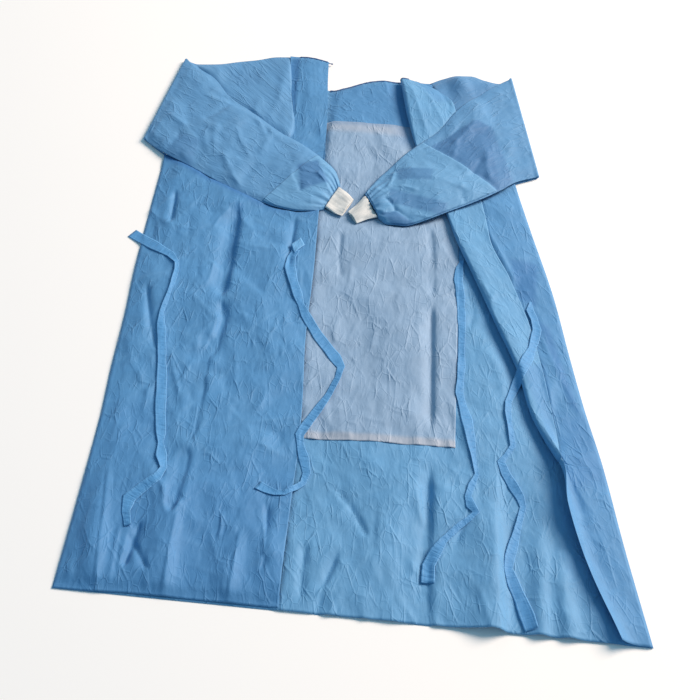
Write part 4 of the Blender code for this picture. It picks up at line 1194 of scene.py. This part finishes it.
def turned_section(up, count):
    """The inner face of the right back panel across one row, from its side edge to its free edge."""
    names = ("centre", "free", "radius", "angle", "edge_z")
    centre, free, radius, angle, edge_z = (float(read(TURNS, "up", name, up)) for name in names)
    end = np.radians(angle)
    run = np.linspace(right_edge(up), centre, 60)
    turn = np.linspace(0, end, 40)[1:]
    flat = np.stack([run, np.full(60, BACK_Z)], axis=1)
    arc = np.stack([centre - radius * np.sin(turn), BACK_Z + radius * (1 - np.cos(turn))], axis=1)
    path = np.concatenate([flat, arc])
    reach = (free - path[-1, 0]) * float(ease(angle, 95, 180))
    if reach > 0.5:
        level = float(ease(angle, 120, 180))
        t = np.linspace(0, 1, 60)[1:]
        straight = path[-1, 1] + np.sin(end) * reach * t
        lowered = path[-1, 1] + (edge_z - path[-1, 1]) * ease(t, 0, 1.1)
        over = straight * (1 - level) + lowered * level
        ahead = level - (1 - level) * np.cos(end)
        path = np.concatenate([path, np.stack([path[-1, 0] + reach * ahead * t, over], axis=1)])
    steps = np.diff(path, axis=0)
    heading = np.unwrap(np.arctan2(steps[:, 1], steps[:, 0]))
    bend = np.concatenate([[0], np.abs(np.diff(heading))])
    measure = np.linalg.norm(steps, axis=1) / 26 + bend / np.radians(70)
    reached = np.concatenate([[0], np.cumsum(measure)])
    even = np.linspace(0, reached[-1], count)
    places = np.stack([np.interp(even, reached, path[:, k]) for k in (0, 1)], axis=1)
    return np.column_stack([places[:, 0], np.full(count, float(up)), places[:, 1]])


def right_back_panel(outside, inside):
    """The back panel at the right, folded over the front, then turned back in a soft roll."""
    ups = np.concatenate([np.arange(0, 1153, 4.6), [1156]])
    path = np.array([turned_section(up, 120) for up in ups])[:, ::-1]
    note_cut("right_back_sheet", path)
    normals = grid_normals(path)
    along = steps_between(path[:, ::-1], 1)[:, ::-1]
    x, up = path[..., 0], path[..., 1]
    covered = forearm_cover(x, up, RIGHT_FOREARM)
    calm = ease(along, 0, 40) * (0.3 + 0.7 * ease(up, 0, 30))
    soft = crumples(along + 100, up, (30.0, -80.0)) * 0.5 * calm
    soft = np.maximum(soft, -0.6)
    creased = 1.5 * crease_height(LAPEL_CREASES, x, up, 16) + 1.5 * crease_height(OUTER_CREASES, x, up, 6)
    on_top = ease(-normals[..., 2], 0.1, 0.6)
    free = read(TURNS, "up", "free", up)
    under_it = (1 - on_top) * ease(x, free - 10, free + 4)
    lift = ((soft + creased) * under_it + (0.7 * soft + creased) * on_top) * (1 - 0.9 * covered)
    # Painted shade in the hollows and folds of the lapel and of the outer part
    painted_shade = painted_shade_at(RIGHT_BACK_PAINTED_SHADES, x, up, 10)
    top = path + normals * (0.2 + CLOTH)
    top[..., 2] += lift
    rolled = (1 - ease(right_edges(up) - x, -1, 5)) * (1 - on_top) * (1 - ease(up, 850, 895))
    top[..., 2] += (1.0 - top[..., 2]) * rolled
    # Painted highlight along the ridge lines
    tone = painted_ridge_highlight(along + 100, up, (30.0, -80.0)) * (1 - covered)
    return shell(
        "right_back_sheet", top, grid_normals(top), [outside, inside], tone=tone, painted_shade=painted_shade
    )


class SleeveForm:
    """The shape of one flattened sleeve: out from the armhole, round the fold and back to the wrist.

    Places across it go from 0 at its upper edge to 1 at its lower edge.
    """

    def __init__(self, side, forearm):
        self.side = side
        self.forearm = forearm
        self.stack = SLEEVE_STACK
        self.middle = (FOREARM_Z + self.stack) / 2
        names = ("left_x", "left_up") if side < 0 else ("right_x", "right_up")
        armhole = np.stack([column(ARMHOLES, name) for name in names], axis=1)[::-1]
        heading = unit(np.gradient(armhole, axis=0))
        outward = np.stack([heading[:, 1], -heading[:, 0]], axis=1) * -side
        self.armhole = armhole - outward * 2.0
        first = forearm[0]
        fold = np.array([(first.upper_x, first.upper_up), (first.lower_x, first.lower_up)], float)
        down = unit(fold[1] - fold[0])
        self.out = np.array([down[1], -down[0]]) * -side
        self.fold = fold - self.out * self.middle

    def shoulder_plan(self, u, w):
        """Places of the shoulder part, from the fold at w = 0 to the armhole at w = 1."""
        u = np.atleast_1d(u)
        key = np.linspace(0, 1, len(self.armhole))
        on_arm = np.stack([smooth(u, key, self.armhole[:, k]) for k in (0, 1)], axis=1)
        on_fold = self.fold[0] + (self.fold[1] - self.fold[0]) * u[:, None]
        plan = on_fold + (on_arm - on_fold) * w
        bend = read(SHOULDERS, "along", "left_bend" if self.side < 0 else "right_bend", w)
        plan[:, 1] += bend * (1 - u) ** 3
        return plan

    def shoulder_rise(self, u, w):
        """How far the upper wall of the right shoulder part stands up near its top edge."""
        if self.side < 0:
            return np.zeros_like(u)
        return read(SHOULDERS, "along", "right_rise", w) * ease(u, -0.02, 0.06) * (1 - ease(u, 0.08, 0.24))

    def edge(self, v, edge):
        """The upper or the lower edge of the forearm, from the fold at v = 0 to the wrist at v = 1."""
        key = np.linspace(0, 1, len(self.forearm))
        return np.array([smooth(v, key, column(self.forearm, edge + axis)) for axis in ("_x", "_up")])

    def forearm_plan(self, u, v):
        """Places of the forearm."""
        u = np.atleast_1d(u)
        upper, lower = self.edge(v, "upper"), self.edge(v, "lower")
        return upper + (lower - upper) * u[:, None]

    def forearm_under(self, plan):
        """The underside of the forearm, which rises over the turned panel at the right."""
        height = np.full(len(plan), FOREARM_Z)
        if self.side > 0:
            centre = read(TURNS, "up", "centre", plan[:, 1])
            free = read(TURNS, "up", "free", plan[:, 1])
            climb = ease(plan[:, 0], centre - 85, centre - 28)
            height = height + CROSSING_RISE * climb * (1 - ease(plan[:, 0], free + 25, free + 75))
        return height

    def raised(self, u, v):
        """How far the forearm stands off the cloth below it, most along its lower edge."""
        most = 4.2 if self.side < 0 else 2.6
        return most * ease(v, 0.04, 0.2) * (1 - ease(v, 0.8, 1.0)) * (0.35 + 0.65 * ease(u, 0.3, 1.0))

    def second_levels(self, second, places):
        """How far along the forearm its second layer starts, at places across it, for a straight edge."""
        a = np.array(seen_at(second.upper_x, second.upper_y, 17))
        b = np.array(seen_at(second.lower_x, second.lower_y, 17))
        levels = np.linspace(0.08, 0.97, 120)
        upper, lower = self.edge(levels, "upper").T, self.edge(levels, "lower").T
        starts = []
        for u in places:
            off = upper + (lower - upper) * u - a
            side = off[:, 0] * (a - b)[1] - off[:, 1] * (a - b)[0]
            order = np.sign(side[-1] - side[0])
            starts.append(np.interp(0, side * order, levels))
        return np.array(starts)

    def painted_shade(self, plan):
        """Painted shade on the forearm, and darker places where more layers lie beneath."""
        return painted_shade_at(LEFT_SLEEVE_PAINTED_SHADES if self.side < 0 else RIGHT_SLEEVE_PAINTED_SHADES, *plan.T, 17)

    def soft(self, plan):
        """The crumples and the creases of the forearm's top."""
        creases = LEFT_SLEEVE_CREASES if self.side < 0 else RIGHT_SLEEVE_CREASES
        shift = (15.0 * self.side, 60.0 * self.side)
        small = 0.9 * crumples(*across_sleeve(*plan.T, self.side), shift) - 1.5
        return np.maximum(small + 2.0 * crease_height(creases, *plan.T, 12), -1.1)

    def forearm_over(self, u, v, gathered=True):
        """The top of the forearm, with the gathers near the wrist if they are asked for."""
        key = np.linspace(0, 1, len(self.forearm))
        puff = smooth(v, key, column(self.forearm, "puff"))
        crown = np.sin(np.pi * np.clip(u, 0, 1)) ** 1.5
        thick = 0.9 + 0.9 * ease(np.minimum(u, 1 - u), 0, 0.06)
        z = self.forearm_under(self.forearm_plan(u, v)) + thick + 0.8 * puff * crown
        if gathered:
            turns = GATHERS * (u + 0.035 * np.sin(9 * u + 2 * self.side))
            wave = (0.5 - 0.5 * np.cos(2 * np.pi * turns)) * (0.75 + 0.25 * np.sin(23 * u + self.side))
            z = z + GATHER_DEPTH * wave * ease(v, 0.7, 0.93) * np.minimum(1, 8 * u * (1 - u))
        return z


def across_sleeve(x, up, side):
    """Places turned so that the crumples run across a sleeve."""
    return 0.88 * x + side * (0.47 * up - 560), 0.88 * up - side * 0.47 * x


def moved_in(plan_of, u, inset):
    """Places across a sleeve, moved in from both of its edges by a distance."""
    step = 0.01
    start, first, last, end = plan_of(np.array([0, step, 1 - step, 1]))
    low = step * inset / np.linalg.norm(first - start)
    high = step * inset / np.linalg.norm(end - last)
    return low + u * (1 - low - high)


def flat_ring(plan_a, z_a, plan_b, z_b, bow):
    """One ring of a flattened tube: an edge, a wall, the other edge, and the other wall back."""
    first = plan_a[0] + unit(plan_a[0] - plan_a[1]) * bow
    last = plan_a[-1] + unit(plan_a[-1] - plan_a[-2]) * bow
    edge_a = [*first, (z_a[0] + z_b[0]) / 2]
    edge_b = [*last, (z_a[-1] + z_b[-1]) / 2]
    wall_a, wall_b = np.column_stack([plan_a, z_a]), np.column_stack([plan_b, z_b])
    return np.concatenate([[edge_a], wall_a, [edge_b], wall_b[::-1]])


def sleeve(name, form, finish):
    """A sleeve as one flattened tube."""
    a_side, b_side = np.linspace(0, 1, 46), np.linspace(0, 1, 64)
    half = form.stack / 2
    shift = (15.0 * form.side, 60.0 * form.side)
    rings, smooth_rings, painted_shades = [], [], []
    none = np.zeros(len(a_side) + len(b_side) + 2)
    under = np.zeros(len(b_side) + 1)
    for w in np.linspace(1.0, 0.03, 46):
        def place(u, w=w):
            return form.shoulder_plan(u, w)

        a, b = moved_in(place, a_side, half), moved_in(place, b_side, half)
        plan = place(a)
        free = np.minimum(1, 12 * a * (1 - a)) * (1 - ease(w, 0.975, 1.0))
        soft = 0.75 * crumples(*across_sleeve(*plan.T, form.side), shift) + 1.0
        if form.side < 0:
            soft = soft + 2.0 * crease_height(LEFT_SHOULDER_CREASES, plan[:, 0], plan[:, 1], 5)
        hidden = forearm_cover(plan[:, 0], plan[:, 1], form.forearm)
        soft = np.maximum(soft, 0) * (1 - 0.9 * hidden)
        low = np.full(len(b), 0.1)
        top = 0.9 + (form.stack - 1.5) * ease(np.minimum(a, 1 - a), 0, 0.06) + form.shoulder_rise(a, w)
        smooth_rings.append(flat_ring(plan, top, place(b), low, half))
        top = top + 1.8 * ease(w, 0.85, 0.97) * np.minimum(1, 12 * a * (1 - a)) + soft * free
        rings.append(flat_ring(plan, top, place(b), low, half))
        # Painted shade in the folds of the shoulder part
        painted_shades.append(np.concatenate([[0], painted_shade_at(SHOULDER_PAINTED_SHADES, *plan.T, 10), under]))
    near, far = form.middle - form.stack, form.middle
    for turn in np.radians(np.linspace(0, 180, 13)):
        def place(u, radius=0.0, turn=turn):
            on_fold = form.fold[0] + (form.fold[1] - form.fold[0]) * np.atleast_1d(u)[:, None]
            return on_fold + form.out * radius * np.sin(turn)

        def level(u, radius, turn=turn):
            return np.full(len(u), form.middle - radius * np.cos(turn))

        a, b = moved_in(place, a_side, half), moved_in(place, b_side, half)
        rings.append(flat_ring(place(a, near), level(a, near), place(b, far), level(b, far), half))
        smooth_rings.append(rings[-1])
        painted_shades.append(none)
    for v in np.linspace(0.02, 1.0, 96):
        def place(u, v=v):
            return form.forearm_plan(u, v)

        a, b = moved_in(place, a_side, half), moved_in(place, b_side, half)
        plan = place(b)
        free = np.minimum(1, 12 * b * (1 - b)) * ease(v, 0.0, 0.05)
        low = form.forearm_under(place(a)) + form.raised(a, v)
        top = form.forearm_over(b, v) + form.raised(b, v)
        smooth_rings.append(flat_ring(place(a), low, plan, top, half))
        rings.append(flat_ring(place(a), low, plan, top + form.soft(plan) * free, half))
        # Painted shade, and darker places over more layers, on the forearm's top
        painted_shades.append(np.concatenate([none[: len(a) + 2], form.painted_shade(plan)[::-1]]))
    rings, painted_shades = np.array(rings), np.array(painted_shades)
    closed = np.array(smooth_rings)
    note_cut(name, np.concatenate([closed, closed[:, :1]], axis=1))
    normals = tube_normals(rings)
    if normals[-20, -30, 2] < 0:
        rings, painted_shades = rings[:, ::-1], painted_shades[:, ::-1]
        normals = tube_normals(rings)
    # Painted highlight along the ridge lines
    tones = painted_ridge_highlight(*across_sleeve(rings[..., 0], rings[..., 1], form.side), shift)
    return shell(name, rings, normals, [finish], ring=True, tone=tones, painted_shade=painted_shades)


def sleeve_reinforcement(name, form, second, finish):
    """The second layer of a forearm, from its straight edge to the gathers."""
    fine = np.linspace(0.012, 0.988, 66)
    shift = (15.0 * form.side, 60.0 * form.side)
    starts = form.second_levels(second, fine)
    rows, flat = [], []
    for t in np.linspace(0, 1, 76):
        levels = starts + (SECOND_LAYER_ENDS - starts) * t
        plan = np.array([form.forearm_plan(u, v)[0] for u, v in zip(fine, levels)])
        over = np.array([form.forearm_over(np.array([u]), v)[0] for u, v in zip(fine, levels)])
        flat.append(np.column_stack([plan, over]))
        over = over + form.raised(fine, levels) + form.soft(plan) * np.minimum(1, 12 * fine * (1 - fine))
        rows.append(np.column_stack([plan, over + ON_SLEEVE]))
    note_cut(name, np.array(flat))
    grid = np.array(rows)
    normals = grid_normals(grid)
    if normals[30, 30, 2] < 0:
        grid = grid[:, ::-1]
        normals = grid_normals(grid)
    # Painted shade, and darker places over more layers, on the second layer
    painted_shade = form.painted_shade(grid[..., :2].reshape(-1, 2)).reshape(grid.shape[:2])
    # Painted highlight along the ridge lines
    tone = painted_ridge_highlight(grid[..., 0], grid[..., 1], shift)
    return shell(name, grid, normals, [finish], tone=tone, painted_shade=painted_shade)


def cuff(name, ends, finish, seed):
    """A flattened tube of rib knit, with low ribs, crumpled."""
    chance = np.random.default_rng(seed)
    angles = np.linspace(0, 2 * np.pi, 160, endpoint=False)
    dents = chance.uniform(0, 2 * np.pi, 3)
    rings = []
    for t in np.linspace(0, 1, 24):
        upper = np.array(ends.seam_upper) * (1 - t) + np.array(ends.end_upper) * t
        lower = np.array(ends.seam_lower) * (1 - t) + np.array(ends.end_lower) * t
        middle, half = (upper + lower) / 2, np.linalg.norm(lower - upper) / 2
        across = unit(lower - upper)
        half = half * (1 + 0.05 * np.sin(5 * t + dents[2]))
        rib = 0.12 * np.cos(20 * angles)
        dent = 1.5 * np.sin(2.5 * angles + dents[0] + 3 * t) + 1.1 * np.sin(4 * angles + dents[1] - 5 * t)
        high = CUFF_HALF_HEIGHT - 0.6 * t
        level = CUFF_Z + CUFF_HALF_HEIGHT + 1.0 - 1.0 * t
        flat = np.sign(np.cos(angles)) * np.abs(np.cos(angles)) ** 0.8 * (half - 0.3 + rib)
        rise = np.sign(np.sin(angles)) * np.abs(np.sin(angles)) ** 0.7
        rise = rise * (high - 0.3 + rib) + np.maximum(np.sin(angles), 0) * dent
        rings.append(np.column_stack([middle + across * flat[:, None], level + rise]))
    rings = np.array(rings)
    note_cut(name, np.concatenate([rings, rings[:, :1]], axis=1))
    normals = tube_normals(rings)
    if normals[12, 40, 2] < 0:
        rings = rings[:, ::-1]
        normals = tube_normals(rings)
    return shell(name, rings, normals, [finish], ring=True, thickness=0.9)


class Ground:
    """How high the finished sheets reach at a place."""

    def __init__(self, objects):
        self.trees = []
        for obj in objects:
            mesh = obj.data
            points = np.empty(len(mesh.vertices) * 3, np.float32)
            mesh.vertices.foreach_get("co", points)
            corners = np.empty(len(mesh.loops), np.int32)
            mesh.loops.foreach_get("vertex_index", corners)
            faces = corners.reshape(-1, 4)
            self.trees.append(BVHTree.FromPolygons(points.reshape(-1, 3).tolist(), faces.tolist()))

    def height(self, x, up):
        """The highest sheet at one place."""
        start = Vector((x * MM, (up - LENGTH / 2) * MM, 0.2))
        hits = [tree.ray_cast(start, Vector((0, 0, -1)))[0] for tree in self.trees]
        return max([hit.z / MM for hit in hits if hit is not None], default=0.0)


def mitred(line, widths):
    """The side vector of a band at each corner of its centreline."""
    headings = unit(np.diff(line, axis=0))
    before, after = np.vstack([headings[:1], headings]), np.vstack([headings, headings[-1:]])
    side_a = np.stack([-before[:, 1], before[:, 0]], axis=1)
    side_b = np.stack([-after[:, 1], after[:, 0]], axis=1)
    middle = unit(side_a + side_b)
    stretch = 1 / np.clip((middle * side_a).sum(axis=1), 0.7, 1)
    return middle * stretch[:, None] * widths[:, None] / 2


def filtered(values, reach, kind):
    """The largest or the mean value within a reach along the rows."""
    padded = np.pad(values, ((reach, reach), (0, 0)), mode="edge")
    stack = np.stack([padded[i : i + len(values)] for i in range(2 * reach + 1)])
    return stack.max(axis=0) if kind == "most" else stack.mean(axis=0)


def tie(name, stations, level, ground, finish, seed):
    """A band with sharp bends that lies and leans on whatever is below it."""
    chance = np.random.default_rng(seed)
    line = np.array([seen_at(row.x, row.y, level) for row in stations])
    for _ in range(4):
        heights = np.array([[ground.height(*place) + 1.4] for place in line])
        heights = 0.5 * heights + 0.5 * filtered(heights, 1, "mean")
        line = np.array([seen_at(row.x, row.y, z) for row, z in zip(stations, heights[:, 0])])
    widths, leans = column(stations, "width"), column(stations, "lean")
    sides = mitred(line, widths)
    facts = np.column_stack([line, sides, widths, leans])
    rows = []
    for a, b in zip(facts, facts[1:]):
        count = max(2, int(np.linalg.norm(b[:2] - a[:2]) / TIE_STEP))
        rows += [a + (b - a) * t for t in np.arange(count) / count]
    rows = np.array(rows + [facts[-1]])
    across = np.linspace(-1, 1, 11)
    uneven = 1 + 0.05 * np.sin(np.arange(len(rows)) / 1.9 + seed) + 0.05 * np.sin(np.arange(len(rows)) / 4.3)
    plan = rows[:, None, :2] + rows[:, None, 2:4] * across[None, :, None] * uneven[:, None, None]
    below = np.array([[ground.height(*place) for place in row] for row in plan])
    whole = np.broadcast_to(below.max(axis=1, keepdims=True), below.shape)
    z = np.maximum(below, filtered(0.75 * below + 0.25 * whole, 2, "mean")) + 0.5
    stands = np.minimum(np.sqrt(np.maximum(TIE_WIDTH**2 - rows[:, 4] ** 2, 4.0)), 2.8) * rows[:, 5]
    rightward = np.clip(2 * rows[:, 2] / np.hypot(rows[:, 2], rows[:, 3]), -1, 1)[:, None]
    share = 0.5 - 0.5 * across[None] * rightward
    z = z + np.where(stands[:, None] > 0, stands[:, None] * share, -stands[:, None] * (1 - share))
    wave = chance.uniform(0, 6.28, 3)
    along = np.arange(len(rows))[:, None]
    z = z + 0.3 * (1 + np.sin(along / 7.0 + wave[0])) * across[None] ** 2
    z = filtered(z, 1, "mean")
    z = z + 0.25 * np.sin(along / 1.7 + wave[1] + across[None]) * (0.3 + 0.7 * np.abs(across[None]))
    top = np.dstack([plan, np.maximum(z, below + 0.4) + 0.35])
    normals = grid_normals(top)
    if normals[..., 2].mean() < 0:
        top = top[:, ::-1]
        normals = grid_normals(top)
    flat = np.linspace(-TIE_WIDTH / 2, TIE_WIDTH / 2, 11)
    note_cut(name, as_flat(plan))
    run = np.concatenate([[0], np.cumsum(np.linalg.norm(np.diff(rows[:, :2], axis=0), axis=1))])
    uv = np.dstack(np.meshgrid(flat, run))
    tone = np.broadcast_to(0.5 * (np.abs(across) > 0.85), below.shape)
    return shell(name, top, normals, [finish], thickness=0.6, tone=tone, uv=uv)


def tie_patch(name, corners, ground, finish):
    """The small stitched square where a tie is sewn on."""
    a, b, c, d = (np.array(seen_at(corner.x, corner.y, 6)) for corner in corners)
    t = np.linspace(0, 1, 12)[None, :, None]
    s = np.linspace(0, 1, 12)[:, None, None]
    plan = (a * (1 - t) + b * t) * (1 - s) + (d * (1 - t) + c * t) * s
    z = np.array([[ground.height(*place) for place in row] for row in plan])
    top = np.dstack([plan, np.maximum(z, z.mean()) + 1.9])
    normals = grid_normals(top)
    if normals[5, 5, 2] < 0:
        top, normals = top[:, ::-1], -normals[:, ::-1]
    return shell(name, top, normals, [finish], thickness=0.8)


def binding(name, line, inward, ground, finish, seed):
    """A narrow binding over a raw edge: a folded strip on the cloth, a little uneven, with a lip past the edge."""
    key = np.linspace(0, 1, len(line))
    at = np.linspace(0, 1, 12 * len(line))
    line = np.stack([smooth(at, key, line[:, k]) for k in range(3)], axis=1)
    inward = unit(np.stack([smooth(at, key, inward[:, k]) for k in range(2)], axis=1))
    heights = np.array([ground.height(*(place[:2] + into * 1.2)) for place, into in zip(line, inward)])
    heights = filtered(np.maximum(heights, line[:, 2])[:, None], 2, "mean")[:, 0]
    wide = 1 + 0.35 * np.sin(at * 61 + seed) * np.sin(at * 23 + seed)
    profile = [(-0.7, -0.6), (-0.9, 0.0), (-0.6, 0.5), (0.4, 0.75), (1.4, 0.7), (2.3, 0.45), (2.5, 0.1)]
    grid = np.array([
        [(*(place[:2] + into * depth * more), low + z) for depth, z in profile]
        for place, into, low, more in zip(line, inward, heights, wide)
    ])
    normals = grid_normals(grid)
    if normals[len(grid) // 2, 4, 2] < 0:
        grid, normals = grid[:, ::-1], -normals[:, ::-1]
    return shell(name, grid, normals, [finish], thickness=0.3)


def neck_lines():
    """The front neckline and the top edges of both back panels."""
    across = np.linspace(0, 1, 60)
    left, right = ARMHOLES[-1], ARMHOLES[-1]
    x = left.left_x + (right.right_x - left.left_x) * across
    up = left.left_up + (right.right_up - left.left_up) * across - read(NECKLINE, "across", "dip", across)
    front = np.stack([x, up, np.full(60, WALL)], axis=1)
    front = front[(x > -122) & (x < 36)][::3]
    heading = unit(np.gradient(front[:, :2], axis=0))
    inward = np.stack([heading[:, 1], -heading[:, 0]], axis=1)
    t = np.linspace(0.27, 1, 8)
    left_top = np.stack([
        left.left_x + (left.free_x - left.left_x) * t,
        left.left_up + (left.free_up - left.left_up) * t,
        np.full(8, BACK_Z + WALL),
    ], axis=1)
    left_top = np.concatenate([left_top, [left_top[-1] + [9, -1, 0]]])
    over = turned_section(1156, 92)
    over = over[(over[:, 2] > BACK_Z + 5) & (over[:, 0] > 9) & (over[:, 0] < 37)]
    over = over[np.argsort(over[:, 0])][::6] + [0, 0, 1.0]
    return front, inward, left_top, over


def build():
    blue = nonwoven("blue_nonwoven", (0.080, 0.265, 0.52), (0.19, 0.43, 0.70))
    # The scale of the painted shade colour on the sleeves and forearms, greyer than on the body
    sleeve_painted_shade_scale = (0.42, 0.55, 0.68)
    sleeve_blue = nonwoven("blue_sleeves", (0.100, 0.280, 0.52), (0.21, 0.44, 0.70), painted_shade_scale=sleeve_painted_shade_scale)
    inner = nonwoven("blue_inside", (0.115, 0.322, 0.57), (0.24, 0.50, 0.77))
    pale = nonwoven("pale_second_layer", (0.252, 0.385, 0.56), (0.44, 0.45, 0.50), 0.6)
    pale_blue = nonwoven("pale_blue_forearm", (0.13, 0.335, 0.58), (0.26, 0.50, 0.77), painted_shade_scale=sleeve_painted_shade_scale)
    knit = knitted("cream_knit", (0.42, 0.44, 0.45), (0.80, 0.80, 0.78))
    dark = sewn("dark_binding", (0.025, 0.10, 0.27), (0.08, 0.20, 0.40))
    band = sewn("tie_cloth", (0.085, 0.30, 0.60), (0.24, 0.52, 0.84))
    pale_band = sewn("tie_patch_cloth", (0.16, 0.42, 0.74), (0.36, 0.62, 0.90))

    front = front_panel(blue, inner)
    reinforcement = reinforcement_panel(pale)
    left_back = left_back_panel(blue, inner)
    right_back = right_back_panel(blue, inner)
    left_form, right_form = SleeveForm(-1, LEFT_FOREARM), SleeveForm(1, RIGHT_FOREARM)
    left_sleeve = sleeve("left_sleeve_sheet", left_form, sleeve_blue)
    right_sleeve = sleeve("right_sleeve_sheet", right_form, sleeve_blue)
    left_second = sleeve_reinforcement("left_forearm_sheet", left_form, LEFT_SECOND, pale_blue)
    right_second = sleeve_reinforcement("right_forearm_sheet", right_form, RIGHT_SECOND, pale_blue)
    left_cuff = cuff("left_cuff_knit", LEFT_CUFF, knit, 3)
    right_cuff = cuff("right_cuff_knit", RIGHT_CUFF, knit, 8)
    ground = Ground([front, reinforcement, left_back, right_back])
    neck, inward, left_top, right_top = neck_lines()
    down = np.array([0.0, -1.0])
    neck_binding = binding("neck_binding_strip", neck, inward, ground, dark, 1)
    back_binding = binding("back_neck_strip", left_top, np.tile(down, (len(left_top), 1)), ground, dark, 2)
    lapel_binding = binding("lapel_top_strip", right_top, np.tile(down, (len(right_top), 1)), ground, dark, 4)
    patch = tie_patch("tie_patch_cloth", TIE_2_PATCH, ground, pale_band)
    levels = (10, 10, 13, 23)
    ties = [
        tie(f"tie_{i}_cloth", points, level, ground, band, i)
        for i, (points, level) in enumerate(zip((TIE_1, TIE_2, TIE_3, TIE_4), levels), 1)
    ]

    replaced = [
        (front, "front_panel", "outer_nonwoven"),
        (reinforcement, "reinforcement_panel", "reinforcement"),
        (left_back, "left_back_panel", "outer_nonwoven"),
        (right_back, "right_back_panel", "inner_face"),
        (left_sleeve, "left_sleeve", "outer_nonwoven"),
        (right_sleeve, "right_sleeve", "outer_nonwoven"),
        (left_second, "left_sleeve_reinforcement", "reinforcement"),
        (right_second, "right_sleeve_reinforcement", "reinforcement"),
        (left_cuff, "left_cuff", "knit"),
        (right_cuff, "right_cuff", "knit"),
        (neck_binding, "neck_binding", "binding"),
        (back_binding, "back_neck_binding", "binding"),
        (lapel_binding, "right_back_neck_binding", "binding"),
        (patch, "tie_2_patch", "tie_cloth"),
    ]
    replaced += [(ties[i], f"tie_{i + 1}", "tie_cloth") for i in range(4)]
    for piece, node, slot in replaced:
        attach(piece, "root")
        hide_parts(node)
    holds = [
        (front, "laid", []),
        (reinforcement, "laid", [front]),
        (left_back, "folded", [front]),
        (right_back, "folded", [front]),
        (left_sleeve, "folded", [left_back]),
        (right_sleeve, "folded", [right_back]),
        (left_second, "laid", [left_sleeve]),
        (right_second, "laid", [right_sleeve]),
        (left_cuff, "gathered", [reinforcement]),
        (right_cuff, "gathered", [reinforcement]),
    ]
    holds += [(ties[i], "laid", [below]) for i, below in enumerate((left_back, left_back, front, front))]
    for piece, held, below in holds:
        width, length, area = CUTS[piece.name]
        area = min(area, width * length)


def studio():
    """The pale floor, the soft light and the camera."""
    bpy.ops.mesh.primitive_plane_add(size=12, location=(0, 0, -0.0005))
    floor = bpy.context.object
    floor.name = "floor"
    f = Finish("pale_floor", (0.9, 0.9, 0.9))
    floor.data.materials.append(f.surface(Base_Color=(1.0, 0.97, 0.95, 1), Roughness=0.9))
    key = bpy.data.lights.new("key", "AREA")
    key.shape, key.size, key.energy = "DISK", 4.6, 1060
    key.color = (1.0, 0.83, 0.70)
    light = bpy.data.objects.new("key", key)
    light.location = (5.56, 3.47, 4.59)
    light.rotation_euler = (Vector((0, 0, 0)) - light.location).to_track_quat("-Z", "Y").to_euler()
    bpy.context.scene.collection.objects.link(light)
    world = bpy.data.worlds.new("soft_light")
    world.use_nodes = True
    world.node_tree.nodes["Background"].inputs[0].default_value = (0.42, 0.76, 1.0, 1)
    world.node_tree.nodes["Background"].inputs[1].default_value = 0.42
    bpy.context.scene.world = world
    bpy.context.scene.view_settings.view_transform = "Standard"
    lens = bpy.data.cameras.new("camera")
    lens.lens, lens.sensor_width = FOCAL_LENGTH, SENSOR
    camera = bpy.data.objects.new("camera", lens)
    camera.location = CAMERA_PLACE
    camera.rotation_euler = CAMERA_TURN
    bpy.context.scene.collection.objects.link(camera)
    bpy.context.scene.camera = camera


bpy.ops.object.select_all(action="DESELECT")
studio()
build()
